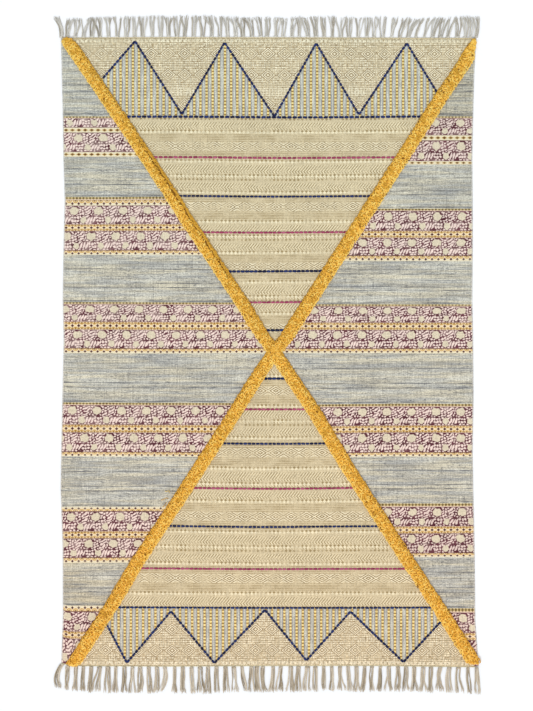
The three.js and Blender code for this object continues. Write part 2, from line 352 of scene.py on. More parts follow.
def aged_group():
    """Sun and soil: the top end is cooler and the bottom end warmer, with broad faint patches."""
    tree, (colour, across, down) = new_group(
        "Sun and soil", {"Color": (1, 1, 1, 1), "Across": 0, "Down": 0}, ("Color",)
    )
    share = (down / -1900).math("ADD", 0.5, clamp=True)
    warm = mixed(share, (0.95, 1.0, 1.02, 1), (1.05, 1.0, 0.98, 1))
    patches = noise(across, down, 170, 120, detail=2) * 0.16 + 0.92
    toned = mixed(1.0, colour, warm, "MULTIPLY")
    return close_group(tree, Color=mixed(1.0, toned, grey(patches), "MULTIPLY"))


def petal_group():
    """A printed petal: the filled ellipse where ((x / length)^2 + (y / width)^2) is under one,
    after a shift to its middle and a turn, with a soft rim."""
    tree, (place, middle, half_size, turn) = new_group(
        "Printed petal",
        {"Place": (0, 0, 0), "Middle": (0, 0, 0), "Half size": (1, 1, 1), "Turn": 0},
    )
    turned = vector(tree, 0.0, 0.0, turn)
    inputs = {"Vector": place, "Location": middle, "Rotation": turned, "Scale": half_size}
    local = add_node(tree, "ShaderNodeMapping", inputs=inputs, vector_type="TEXTURE")
    length = add_node(tree, "ShaderNodeVectorMath", 1, {0: local}, operation="LENGTH")
    return close_group(tree, Mask=within(length, 0.96, 0.19))


def spots_group():
    """A row of diamond spots: |x| / half length + |y| / half height is under one, and x repeats."""
    tree, (across, down, pitch, half_length, half_height) = new_group(
        "Row of spots", {"Across": 0, "Down": 0, "Pitch": 12, "Half length": 3, "Half height": 3}
    )
    size = abs(cell(across, pitch)) / half_length + abs(down) / half_height
    return close_group(tree, Mask=within(size, 1.0, 0.3))


def ink_group():
    """Block ink: a printed mask, thinned in clouds where the block pressed lightly and broken up
    a little by the threads."""
    tree, (mask, across, down, strength, fading) = new_group(
        "Block ink", {"Mask": 0, "Across": 0, "Down": 0, "Strength": 1.0, "Fading": 0.4}
    )
    press = noise(across, down, 34, 26, detail=2)
    threads = noise(across, down, 5, 2.5, detail=1, depth=3.0)
    cover = (press - 0.5) * fading * 2 + (threads - 0.5) * fading + strength
    return close_group(tree, Mask=mask.math("MULTIPLY", cover, clamp=True))


def yarn_group():
    """Plied yarn from a piece's own map, which holds the shade class and the way round the yarn in
    its first number and the way along it in the second: the class number, and a ply height of
    |sin(tau * (way round * plies / 2 + way along * turns))|."""
    tree, (turns, plies) = new_group(
        "Plied yarn", {"Turns": 3.0, "Plies": 2.0}, ("Shade", "Along", "Height", "Fuzz")
    )
    first, along = split(add_node(tree, "ShaderNodeUVMap", uv_map="OFBake"))
    number = first * SHADES
    strand = number.math("FRACT") * plies * 0.5 + along * turns
    return close_group(
        tree,
        Shade=number.math("FLOOR") / (SHADES - 1),
        Along=along,
        Height=abs((strand * math.tau).math("SINE")),
        Fuzz=noise(first, along, 0.012, 0.04, detail=2),
    )


WEAVE = weave_group()
AGED = aged_group()
PETAL = petal_group()
SPOTS = spots_group()
INK = ink_group()
YARN = yarn_group()


def spots(across, down, pitch, half_length, half_height):
    return use_group(
        across.tree, SPOTS, "Mask",
        Across=across, Down=down, Pitch=pitch, Half_length=half_length, Half_height=half_height,
    )


def inked(mask, spot, strength, fading):
    x, y = spot
    return use_group(
        mask.tree, INK, "Mask", Mask=mask, Across=x, Down=y, Strength=strength, Fading=fading
    )


def printed(colour, spot, *layers):
    """A colour with inks printed over it in turn, each with its mask, strength and fading."""
    for ink, mask, strength, fading in layers:
        colour = mixed(inked(mask, spot, strength, fading), colour, ink)
    return colour


# ---------------------------------------------------------------- printed and woven patterns

# A pattern takes a point's place along and down its own repeat, and its spot on the rug as (x, y),
# all in millimetres but where a stripe counts `down` as a share of its depth.

CREAM = dyed(236, 224, 192)
MIST = dyed(212, 208, 190)
BLUE_GRAY = dyed(161, 160, 153)
SLATE = dyed(96, 98, 104)
PLUM = dyed(82, 36, 46)
DUSTY_PLUM = dyed(112, 65, 74)
BLOSSOM = dyed(220, 208, 182)
PETAL_WHITE = dyed(241, 219, 208)
GOLD = dyed(204, 160, 76)
OLD_GOLD = dyed(196, 160, 78)
PALE_GOLD = dyed(214, 194, 136)
OCHRE = dyed(150, 116, 52)
OLIVE = dyed(154, 114, 42)
DARK_OLIVE = dyed(114, 92, 54)
UMBER = dyed(96, 62, 44)
AUBERGINE = dyed(78, 34, 42)
BUTTER = dyed(242, 221, 184)
ROSE_CREAM = dyed(230, 204, 184)
CORD = dyed(206, 202, 196)

# Multipliers of a streaked stripe's colour.
BLUER, CREAMIER = (0.974, 1.0, 1.056, 1), (1.026, 1.0, 0.946, 1)
SOIL = (0.925, 0.89, 0.83, 1)
SOILED = 330000  # x times y, in square millimetres, where the two soiled corners begin
# Dark lines of a streaked stripe, as shares of its depth: middle, half thickness and strength.
STREAK_LINES = [
    (0.2, 0.012, 0.45), (0.24, 0.006, 0.3), (0.3, 0.01, 0.9), (0.42, 0.006, 0.3),
    (0.595, 0.01, 0.95), (0.685, 0.012, 0.95), (0.8, 0.006, 0.3), (0.97, 0.016, 0.8),
]
# Joins between lengths of streaked weft: how far a row of them is moved, and where in the stripe's
# depth it starts and stops.
STREAK_JOINS = [(50, 0.0, 0.66), (-22, 0.66, 1.0)]
JOIN_PITCH = 144


def streaked_stripe(along, down, spot):
    """Unprinted ground with blue-gray weft streaks: long and short thin clouds that drift between a
    bluer and a creamier tone, darker broken lines and flecks, and faint joins where the streaks
    start and stop. It is soiled in the upper right and the lower left corner."""
    x, y = spot
    long_clouds = noise(x, y, 150, 3.6, detail=4, roughness=0.6) - 0.5
    short_clouds = noise(x, y, 22, 2.2, detail=2, roughness=0.6, depth=17.0) - 0.5
    broad_clouds = noise(x, y, 220, 24, detail=2, depth=12.0) - 0.5
    cloudy = long_clouds * 3.7 + short_clouds * 2.0 + broad_clouds * 2.2
    colour = mixed(cloudy.math("ADD", 0.475, clamp=True), MIST, BLUE_GRAY)
    hue = (noise(x, y, 190, 13, detail=2, depth=41.0) - 0.5) * 7.0
    tint = mixed(hue.math("ADD", 0.5, clamp=True), BLUER, CREAMIER)
    colour = mixed(1.0, colour, tint, "MULTIPLY")
    level = down + (noise(x, y, 70, 400, detail=1, depth=2.0) - 0.5) * 0.03
    lines = largest(
        within(abs(level - middle), half, 0.009) * strength
        for middle, half, strength in STREAK_LINES
    )
    broken = above(noise(x, y, 50, 9, detail=3, depth=5.0), 0.48, 0.12) * 0.78 + 0.26
    joins = largest(
        within(abs(cell(x, JOIN_PITCH, moved)), 0.6, 0.9) * between(level, first, last, 0.05)
        for moved, first, last in STREAK_JOINS
    )
    joins = joins * above(noise(x, y, 30, 12, depth=9.0), 0.47, 0.1)
    colour = mixed(above(x * y, SOILED, 60000), colour, SOIL, "MULTIPLY")
    flecks = above(noise(x, y, 13, 3.2, detail=2, depth=25.0), 0.6, 0.05)
    flecks = flecks * above(noise(x, y, 90, 26, detail=1, depth=27.0), 0.5, 0.06) * 0.7
    return mixed(largest([lines * broken, joins * 0.82, flecks]) * 0.92, colour, SLATE)


# One repeat of the flower band. It has an upper row, where a large blossom is followed by a bunch
# of buds and slanting leaves, and a lower row, half a repeat on, where a small blossom is followed
# by three upright leaves and pairs of buds. Each petal has its middle (along, down), half length,
# half width and turn in degrees; a turn under nothing rises to the right.
FLOWER_REPEAT = 72.6
FLOWER_DEPTH = 58.0
LARGE_BLOSSOM = 19.5  # place of its middle along the repeat
UPPER_SWELL, LOWER_SWELL = 0.965, 1.07  # size of a row's printed petals over its chart
DIM_CORNERS = 190000  # x times |y|, where the petals of the two right-hand corners begin to dim
UPPER_PETALS = [
    (37.0, 4.6, 3.8, 2.8, 20), (37.2, 12.2, 3.7, 2.9, -20), (36.8, 19.8, 3.9, 2.9, -40),
    (38.4, 27.6, 4.6, 2.7, -20), (45.4, 8.2, 3.7, 3.0, -30), (44.8, 16.4, 3.7, 3.1, 10),
    (46.0, 24.4, 4.2, 2.9, -40), (52.6, 3.8, 3.8, 2.4, 0), (53.0, 12.4, 3.6, 2.9, -36),
    (62.0, 6.8, 9.4, 2.8, -36), (66.4, 14.2, 9.6, 2.8, -36), (56.6, 18.6, 4.4, 2.8, -36),
    (63.4, 23.6, 8.2, 2.8, -36), (54.8, 27.6, 3.8, 2.6, -10), (71.8, 26.8, 4.2, 2.7, -20),
    (72.2, 4.8, 4.0, 2.7, -30), (7.2, 28.8, 3.6, 2.2, 10), (29.4, 29.2, 3.4, 2.1, 0),
    (2.6, 13.2, 3.4, 2.2, -60), (1.6, 20.4, 3.2, 2.2, -50), (33.0, 2.6, 2.4, 1.8, 0),
    (5.8, 5.0, 3.8, 2.3, -40), (11.2, 2.2, 3.0, 1.6, 10), (48.0, 31.2, 3.4, 1.6, -10),
    (62.0, 31.4, 3.4, 1.6, -10), (15.0, 30.8, 3.2, 1.5, 0),
]
LOWER_PETALS = [
    (25.8, 43.8, 9.0, 2.9, -66), (34.0, 43.6, 9.2, 2.9, -66), (42.2, 43.8, 9.0, 2.9, -66),
    (50.6, 37.6, 3.8, 3.0, -20), (51.0, 46.6, 3.7, 3.3, 0), (59.0, 38.6, 3.5, 3.2, 0),
    (59.4, 47.6, 3.8, 3.2, 0), (67.2, 37.4, 3.6, 3.0, 10), (67.6, 46.0, 3.4, 3.3, 0),
    (20.6, 34.4, 3.6, 2.4, -30), (2.6, 34.8, 3.2, 2.4, 20), (54.6, 54.6, 4.0, 2.2, 0),
    (65.0, 54.6, 3.8, 2.2, 0), (20.8, 54.6, 3.6, 2.2, 0), (30.8, 55.2, 3.4, 1.9, 0),
    (3.0, 54.4, 3.4, 2.2, 10),
]


def blossom(along, down, middle, half_size, lobes, ripple):
    """A scalloped blossom: its edge is at r = 1 + ripple * cos(lobes * angle) in its own size."""
    dx = (along - middle[0]) / half_size[0]
    dy = (down - middle[1]) / half_size[1]
    radius = (dx * dx + dy * dy).math("SQRT")
    lobe = (dx.math("ARCTAN2", dy) * lobes).math("COSINE") * ripple
    return within(radius - lobe, 1.0, 0.09)


def flower_stripe(along, down, spot):
    """Plum block print that leaves the cloth bare in blossoms, leaves and buds, with plum lines
    along both edges. The hand-cut block and the thick yarn make each repeat a little different."""
    x, y = spot
    pull_x = (noise(x, y, 12, 12, depth=20.0) - 0.5) * 9
    pull_y = (noise(x, y, 12, 12, depth=30.0) - 0.5) * 12
    depth = down * FLOWER_DEPTH + pull_y
    half = FLOWER_REPEAT / 2
    first, second = [cell(along + pull_x, FLOWER_REPEAT, moved) + half for moved in (0, half)]
    upper, lower = vector(x.tree, first, depth), vector(x.tree, second, depth)
    rows = [(UPPER_PETALS, upper, UPPER_SWELL), (LOWER_PETALS, lower, LOWER_SWELL)]
    petals = largest(
        use_group(
            x.tree, PETAL, "Mask",
            Place=place, Middle=(across, low, 0), Half_size=(length * swell, width * swell, 1),
            Turn=math.radians(turn),
        )
        for chart, place, swell in rows
        for across, low, length, width, turn in chart
    )
    blossoms = blossom(first, depth, (LARGE_BLOSSOM, 16.0), (13.2, 11.8), 7, 0.07)
    blossoms = blossoms.larger(blossom(second, depth, (11.2, 44.0), (9.4, 10.0), 5, 0.08))
    petals = petals * (above(abs(y) * x, DIM_CORNERS, 40000) * -0.1 + 1)
    inside = within(abs(down * FLOWER_DEPTH - 29), 27.6, 0.8)
    ink = petals.larger(blossoms) * inside * -1 + 1
    plum = mixed(above(noise(x, y, 60, 30, depth=4.0), 0.5, 0.2), PLUM, DUSTY_PLUM)
    strength = (x - y) / 9000 + 0.97
    return printed(mixed(blossoms, PETAL_WHITE, BLOSSOM), spot, (plum, ink, strength, 0.7))


SCALLOP, DASH_PITCH = 18.6, 18.9
FACING_DEPTH, EDGING_DEPTH, BEADED_DEPTH = 22, 14, 6  # of the narrow stripes


def gold_arcs(along, level):
    """Scalloped edging: a ring round each repeat's middle on the stripe's edge."""
    x = cell(along, SCALLOP)
    radius = (x * x + level * level).math("SQRT")
    return within(abs(radius - 6.8), 1.2, 0.8)


def scallops_stripe(along, down, spot):
    """Two facing rows of gold arcs on butter yellow with aubergine diamonds between them."""
    level = down * FACING_DEPTH
    from_middle = abs(level - FACING_DEPTH / 2)
    arcs = gold_arcs(along, level).larger(gold_arcs(along, level * -1 + FACING_DEPTH))
    cores = spots(along, from_middle - 8.6, SCALLOP, 3.2, 2.4)
    leaves = spots(along + SCALLOP / 4, from_middle - 7.8, SCALLOP / 2, 3.7, 3.2)
    gems = spots(along + SCALLOP / 2, level - FACING_DEPTH / 2, SCALLOP, 5.0, 4.8)
    edges = within(abs(from_middle - FACING_DEPTH / 2), 0.8, 0.6)
    return printed(
        BUTTER, spot, (GOLD, arcs, 1.0, 0.5), (OCHRE, cores, 0.9, 0.5), (OLIVE, leaves, 0.9, 0.8),
        (AUBERGINE, gems, 1.0, 0.3), (ROSE_CREAM, edges, 0.8, 0.4),
    )


def scallop_stripe(along, down, spot):
    """One row of gold arcs that hangs aubergine drops over a pale cream edge."""
    level = down * EDGING_DEPTH
    cores = spots(along, level - 2.2, SCALLOP, 4.6, 2.6)
    drops = spots(along + SCALLOP / 2, level - 9.2, SCALLOP, 4.3, 4.0)
    return printed(
        mixed(between(level, -2, 8.0, 1.6), CREAM, BUTTER), spot,
        (GOLD, gold_arcs(along, level), 1.0, 0.4), (OCHRE, cores, 0.9, 0.5),
        (AUBERGINE, drops, 0.95, 0.3), (PLUM, within(level, 0.9, 0.6), 0.8, 0.4),
    )


def dashes_stripe(along, down, spot):
    """Gold dashes with umber cores on plain cream."""
    level = (down - 0.5) * EDGING_DEPTH
    gold = spots(along, level, DASH_PITCH, 8.6, 4.4)
    umber = spots(along, level, DASH_PITCH, 5.0, 3.4)
    colour = printed(CREAM, spot, (OLD_GOLD, gold, 1.0, 0.4), (UMBER, umber, 0.95, 0.6))
    edges = within(abs(abs(level) - EDGING_DEPTH / 2), 0.9, 0.6)
    return mixed(edges * 0.5, colour, DUSTY_PLUM)


def beads_stripe(along, down, spot):
    """A narrow gold line with olive beads on it and a pale pink lower edge."""
    level = down * BEADED_DEPTH
    colour = mixed(between(level, -1, 4.4, 0.8), ROSE_CREAM, PALE_GOLD)
    return printed(colour, spot, (DARK_OLIVE, spots(along, level - 2.2, 9.8, 4.6, 3.0), 0.95, 0.5))


def slanted(along, level, slope, half):
    """Slanting strokes: one where the distance to the nearest line of x + slope * y is small."""
    return within(abs(cell(along + level * slope, STROKE_PITCH)), half, 0.7)


# Printed rows of the field, as distances from a lattice row.
STROKE_ROWS = [(55, 73, 0.8), (73, 80, -0.8), (90, 95, -0.8), (109, 124, 0.8), (124, 130, -0.8)]
STROKE_PITCH = 8.5
DOT_ROWS = (41.5, 85, 99, 134)
PALE_ROWS = (46, 89, 138)
DOT_PITCH = 11.9
LINE_ZONES = [(18, 38), (143, 161)]
LINE_PITCH = 4.7
# The lattice's diamonds: their pitch, half length and half height, and their grooves' and raised
# rings' places as shares of that size.
LATTICE_PITCH, LATTICE_LENGTH, LATTICE_HEIGHT = 45.5, 21.5, 12.6
LATTICE_GROOVES = (0.3, 0.8, 1.3)
LATTICE_RINGS = (0.04, 0.55, 1.05, 1.55)
FIELD_CREAM = dyed(212, 197, 162)
FIELD_PALE = dyed(240, 229, 196)
FIELD_INK = dyed(160, 140, 100)
GROOVE_INK = dyed(146, 124, 84)
RING_PALE = dyed(243, 233, 203)


def field_print(along, down, spot):
    """Rows that repeat down the field: concentric lattice diamonds, thin lines, slanting strokes
    that turn back at their foot like a herringbone, and rows of dark and pale dots."""
    level = down.math("FRACT") * FIELD_REPEAT
    from_lattice = level.smaller(level * -1 + FIELD_REPEAT)
    dark = [
        spots(along, nearest(level, DOT_ROWS), DOT_PITCH, 4.4, 4.2),
        within(abs(from_lattice - 15.0), 0.9, 0.6) * 0.8,
    ]
    pale = [spots(along + DOT_PITCH / 2, nearest(level, PALE_ROWS), DOT_PITCH, 5.2, 4.4)]
    for first, last, slope in STROKE_ROWS:
        here = between(level, first, last)
        dark.append(slanted(along, level, slope, 1.4) * here)
        pale.append(slanted(along + STROKE_PITCH / 2, level, slope, 1.3) * here * 0.8)
    for first, last in LINE_ZONES:
        lines = within(abs(cell(level - first, LINE_PITCH)), 1.0, 0.7)
        dark.append(lines * between(level, first, last) * 0.8)
    size = abs(cell(along, LATTICE_PITCH)) / LATTICE_LENGTH + from_lattice / LATTICE_HEIGHT
    near = within(from_lattice, 13, 0.8)
    grooves = within(nearest(size, LATTICE_GROOVES), 0.1, 0.05) * near
    rings = within(nearest(size, LATTICE_RINGS), 0.11, 0.05) * near
    return printed(
        FIELD_CREAM, spot, (FIELD_INK, largest(dark), 0.8, 1.8), (GROOVE_INK, grooves, 0.74, 1.6),
        (RING_PALE, rings, 0.6, 1.6), (FIELD_PALE, largest(pale), 0.8, 1.4),
    )


# Printed rows of the two ends, as distances from the cloth's end.
DIAMOND_ROWS = (45, 107, 193)
DIAMOND_PITCH, DIAMOND_LENGTH, DIAMOND_HEIGHT = 49.1, 20.4, 17
END_LINES = (19, 24, 74, 80, 131, 137, 171)
CHECK_PITCH, CHECK_ROW = 6.6, 6.8
SQUARE_PITCH = 12.6
COLUMN_PITCH, BEAD_PITCH = 18.1, 9.8
END_TAN = dyed(206, 190, 156)
END_PALE = dyed(241, 232, 204)
END_INK = dyed(142, 118, 82)
COLUMN_PALE, COLUMN_GRAY = dyed(208, 208, 194), dyed(138, 138, 142)
BEAD_GAP, BEAD_GAP_PALE, BEAD_GOLD = dyed(124, 98, 44), dyed(180, 140, 68), dyed(242, 220, 150)


def ends_print(along, down, spot):
    """Outside the zigzag: rows of pale concentric diamonds with small squares and lines between.
    Inside it: columns of gold beads on blue-gray stripes."""
    x, y = spot
    tilt = abs(cell(along, DIAMOND_PITCH, DIAMOND_PITCH / 2)) / DIAMOND_LENGTH
    size = tilt + nearest(down, DIAMOND_ROWS) / DIAMOND_HEIGHT
    rings = within(nearest(size, (0.92, 0.55)), 0.075, 0.05).larger(within(size, 0.16, 0.08))
    grooves = within(nearest(size, (0.735, 0.35)), 0.07, 0.05)
    grooves = grooves.larger(within(abs(size - 1.1), 0.06, 0.05))
    outside = above(size, 1.22, 0.06)
    patchy = above(noise(along, down, 7, 7, depth=14.0), 0.46, 0.08)
    checks = spots(along, cell(down, CHECK_ROW), CHECK_PITCH, 3.2, 3.3) * outside * patchy * 0.85
    bars = within(abs(cell(along, 9)), 2.0, 0.8) * between(down, 144, 166)
    from_square = abs(cell(along, SQUARE_PITCH))
    at_squares = between(down, 4.5, 11.5, 1.2)
    squares = within(from_square, 4.0, 1.4) * at_squares * 0.7
    specks = spots(along, cell(down, CHECK_ROW, CHECK_ROW / 2), CHECK_PITCH, 2.8, 2.8) * outside
    specks = specks * above(noise(along, down, 9, 9, depth=16.0), 0.46, 0.08)
    lines = within(nearest(down, END_LINES), 1.0, 0.7) * outside * 0.55
    joints = within(abs(from_square - SQUARE_PITCH / 2), 1.4, 1.0) * at_squares * 0.5
    pale = largest([rings, checks, bars * outside * 0.55, squares])
    dark = largest([lines, grooves, specks, joints])
    colour = printed(END_TAN, spot, (END_INK, dark, 0.95, 1.4), (END_PALE, pale, 0.95, 1.2))

    offset = cell(along, COLUMN_PITCH, COLUMN_PITCH / 2)
    bead_down = cell(y, BEAD_PITCH)
    bead = within((offset * offset * 0.8 + bead_down * bead_down).math("SQRT"), 3.1, 0.9)
    from_column = abs(offset)
    rods = within(abs(from_column - 5.6), 1.2, 1.0)
    rods = rods.larger(within(abs(from_column - COLUMN_PITCH / 2), 0.5, 0.8) * 0.5)
    rods = rods * above(noise(x, y, 9, 60, depth=6.0), 0.42, 0.14)
    gaps = mixed(noise(x, y, 16, 16, depth=8.0), BEAD_GAP, BEAD_GAP_PALE)
    stripes, beads = mixed(rods, COLUMN_PALE, COLUMN_GRAY), mixed(bead, gaps, BEAD_GOLD)
    columns = mixed(within(from_column, 3.7, 0.7), stripes, beads)
    inner = add_node(x.tree, "ShaderNodeAttribute", 2, attribute_name="zigzag")
    return mixed(within(inner * -1, 0.0, 0.8), colour, columns)


def underside(along, down, spot):
    """The unprinted back: natural cotton, blue-gray yarns where the face has a streaked stripe, and
    faint clouds of plum ink behind the flowers. The chart holds 1 behind streaks and 2 behind
    flowers."""
    x, y = spot
    threads = between(noise(x, y, 240, 9, detail=3), 0.5, 0.9, 0.2)
    colour = mixed(threads * 0.5, dyed(222, 212, 184), dyed(186, 186, 178))
    clouds = noise(x, y, 150, 3.6, detail=4, roughness=0.6) - 0.5
    streaked = mixed((clouds * 4).math("ADD", 0.5, clamp=True), MIST, BLUE_GRAY)
    colour = mixed(within(abs(down - 1), 0.5, 0.05), colour, streaked)
    soaked = above(noise(x, y, 11, 8, detail=2, depth=33.0), 0.5, 0.08)
    return mixed(within(abs(down - 2), 0.5, 0.05) * soaked * 0.3, colour, DUSTY_PLUM)


def object_place(tree):
    """A point's place along X and along Y on the rug, in millimetres."""
    x, y = split(add_node(tree, "ShaderNodeTexCoord", "Object"))
    return x / MM, y / MM


def new_material(name):
    material = bpy.data.materials.new(name)
    material.use_nodes = True
    return material, material.node_tree


def finish_material(material, colour, height, strength, depth, roughness, specular, sheen):
    """Feeds a colour, a bump from a height (its depth is in metres) and plain constants to the
    material's shader."""
    tree = colour.tree
    inputs = {"Height": height, "Strength": strength, "Distance": depth}
    values = {
        "Base Color": colour, "Normal": add_node(tree, "ShaderNodeBump", inputs=inputs),
        "Roughness": roughness, "Specular IOR Level": specular, "Sheen Weight": sheen,
    }
    for label, value in values.items():
        feed(tree, tree.nodes["Principled BSDF"].inputs[label], value)
    return material


def cloth_material(name, pattern, slub, grain):
    """A woven material: its pattern's colour, the weave's tone and height, sun and soil."""
    material, tree = new_material(name)
    along, down = split(add_node(tree, "ShaderNodeUVMap", uv_map="print"))
    x, y = object_place(tree)
    colour = pattern(along, down, (x, y))
    height, tone = use_group(
        tree, WEAVE, ("Height", "Tone"), Across=x, Down=y, Slub=slub, Grain=grain
    )
    rim = add_node(tree, "ShaderNodeAttribute", 2, attribute_name="rim")
    bare = noise(x, y, 40, 9, detail=2, depth=21.0) * 2.4 - 0.55
    colour = mixed(within(rim, 3.2, 0.9).math("MULTIPLY", bare, clamp=True), colour, CORD)
    colour = mixed(1.0, colour, grey(tone), "MULTIPLY")
    colour = use_group(tree, AGED, "Color", Color=colour, Across=x, Down=y)
    return finish_material(material, colour, height, 0.6, 0.0008, 0.92, 0.18, 0.08)


def yarn_material(name, colours, end_shade_and_tint, turns, core=0.0, plies=2.0, aged=False):
    """Dyed yarn: each length takes its shade from four dyes, the first for the darkest class alone,
    and blends by `core` towards an end colour at its two ends. That end colour is painted shade
    where pile loops and stitches dive in, a darker end on the binding cord, and a paler tint at the
    fringes' roots and tips. Its plies and fuzz mark it too, the plies with painted shade in the
    grooves between them. Aged yarn has the cloth's sun and soil."""
    material, tree = new_material(name)
    shade, along, height, fuzz = use_group(
        tree, YARN, ("Shade", "Along", "Height", "Fuzz"), Turns=turns, Plies=plies
    )
    colour = dyed(*colours[0])
    for dye, edge, soft in zip(colours[1:], (0.06, 0.35, 0.8), (0.03, 0.2, 0.22)):
        colour = mixed(above(shade, edge, soft), colour, dyed(*dye))
    # Painted shade at the ends where pile loops and stitches dive in; on fringe yarn a paler tint
    # instead.
    colour = mixed(above(abs(along - 0.5), 0.36, 0.12) * core, colour, dyed(*end_shade_and_tint))
    if aged:
        x, y = object_place(tree)
        colour = use_group(tree, AGED, "Color", Color=colour, Across=x, Down=y)
    # Painted shade in the grooves between plies, with fuzz that varies the tone at random.
    ply_shade_and_fuzz = (height * 0.3 + fuzz * 0.2 + 0.68).smaller(1.12)
    colour = mixed(1.0, colour, grey(ply_shade_and_fuzz), "MULTIPLY")
    return finish_material(material, colour, height, 0.8, 0.0005, 0.85, 0.25, 0.1)


# ---------------------------------------------------------------- places on the cloth


def bar_x(bar, y):
    """Place along X of a bar's middle line at the height y."""
    rows = BARS[bar][np.argsort(BARS[bar][:, 1])]
    return np.interp(y, rows[:, 1], rows[:, 0])


def bars_at(y):
    """The left and the right bar's middle at each height, upper or lower as the height has it."""
    upper = y > CROSSING[1]
    left = np.where(upper, bar_x("upper_left", y), bar_x("lower_left", y))
    right = np.where(upper, bar_x("upper_right", y), bar_x("lower_right", y))
    return left, right


def selvedge(column, y):
    rows = SELVEDGES[::-1]
    return np.interp(y, rows[:, 0], rows[:, column])


def drift(x, y):
    """How far the woven rows lie off their level: they sag a little along the cloth's middle, away
    from the crossing, and waver by two crossed sines. All is calm at the cloth's ends."""
    from_crossing = np.abs(y)
    calm = 1 - np.clip(from_crossing / HALF_LENGTH, 0, 1) ** 6
    sag = SAG * np.exp(-((x / SAG_HALF_WIDTH) ** 2)) * np.clip(from_crossing / SAG_START, 0, 1)
    waver = 0.6 * np.sin(x / 165 + y / 210) + 0.4 * np.sin(x / 88 - y / 133 + 1.7)
    return calm * (waver - sag)


def cloth_end(x, side):
    """Height Y of the woven end at x: of the top end for side 1, and of the bottom end for -1."""
    return np.interp(x, ENDS[:, 0], ENDS[:, 1 if side > 0 else 2])


def end_bow(x, y):
    """The ends' bow, spread over the last third of the cloth's length."""
    top = cloth_end(x, 1) - TOP_END
    bottom = cloth_end(x, -1) - BOTTOM_END
    near_top = np.clip((y - TOP_BOW[0]) / TOP_BOW[1], 0, 1)
    near_bottom = np.clip((-y - BOTTOM_BOW[0]) / BOTTOM_BOW[1], 0, 1)
    return top * near_top + bottom * near_bottom


def cloth_ripple(x, y):
    """Height of the cloth's shallow ripples."""
    along = 0.28 * np.sin(x / 61 + 1.3 * np.sin(y / 150))
    return along + 0.24 * np.sin(y / 47 + np.sin(x / 120) + 0.6)


def face_height(x, y):
    """Height of the cloth's face."""
    return CLOTH - 0.2 + cloth_ripple(x, y)


# ---------------------------------------------------------------- mesh building blocks


def placed(name, data):
    """A new object in the scene."""
    thing = bpy.data.objects.new(name, data)
    bpy.context.scene.collection.objects.link(thing)
    return thing


def add_piece(name, points, quads, triangles, charts, materials, slots=None):
    """A mesh piece at the origin from points in millimetres, quads and triangles. A chart gives the
    map's name and its corners, for the quads and then the triangles."""
    mesh = bpy.data.meshes.new(name)
    corners = np.concatenate([quads.ravel(), triangles.ravel()]).astype(np.int32)
    sizes = np.concatenate([np.full(len(quads), 4), np.full(len(triangles), 3)]).astype(np.int32)
    starts = np.concatenate([[0], np.cumsum(sizes)[:-1]]).astype(np.int32)
    mesh.vertices.add(len(points))
    mesh.vertices.foreach_set("co", (points * MM).astype(np.float32).ravel())
    mesh.loops.add(len(corners))
    mesh.loops.foreach_set("vertex_index", corners)
    mesh.polygons.add(len(sizes))
    mesh.polygons.foreach_set("loop_start", starts)
    mesh.update(calc_edges=True)
    mesh.polygons.foreach_set("use_smooth", np.ones(len(sizes), dtype=bool))
    for label, chart in charts.items():
        mesh.uv_layers.new(name=label).uv.foreach_set("vector", chart.astype(np.float32).ravel())
    for material in materials:
        mesh.materials.append(material)
    if slots is not None:
        mesh.polygons.foreach_set("material_index", slots.astype(np.int32))
    mesh.validate()
    mesh.update()
    return placed(name, mesh)


def unit(vectors):
    return vectors / np.maximum(np.linalg.norm(vectors, axis=-1, keepdims=True), 1e-9)


def ring_quads(rows, around):
    """Quads that join each row of a closed ring of points to the next row."""
    here = np.arange(around)
    after = (here + 1) % around
    start = np.arange(rows - 1)[:, None] * around
    below = start + around
    quads = np.stack([start + here, below + here, below + after, start + after], axis=-1)
    return quads.reshape(-1, 4)


def corner_map(*corners):
    """The map of a yarn's faces, from the way round it and the way along it of each corner."""
    places = [np.stack(np.broadcast_arrays(*corner), axis=-1).reshape(-1, 2) for corner in corners]
    return np.stack(places, axis=1)


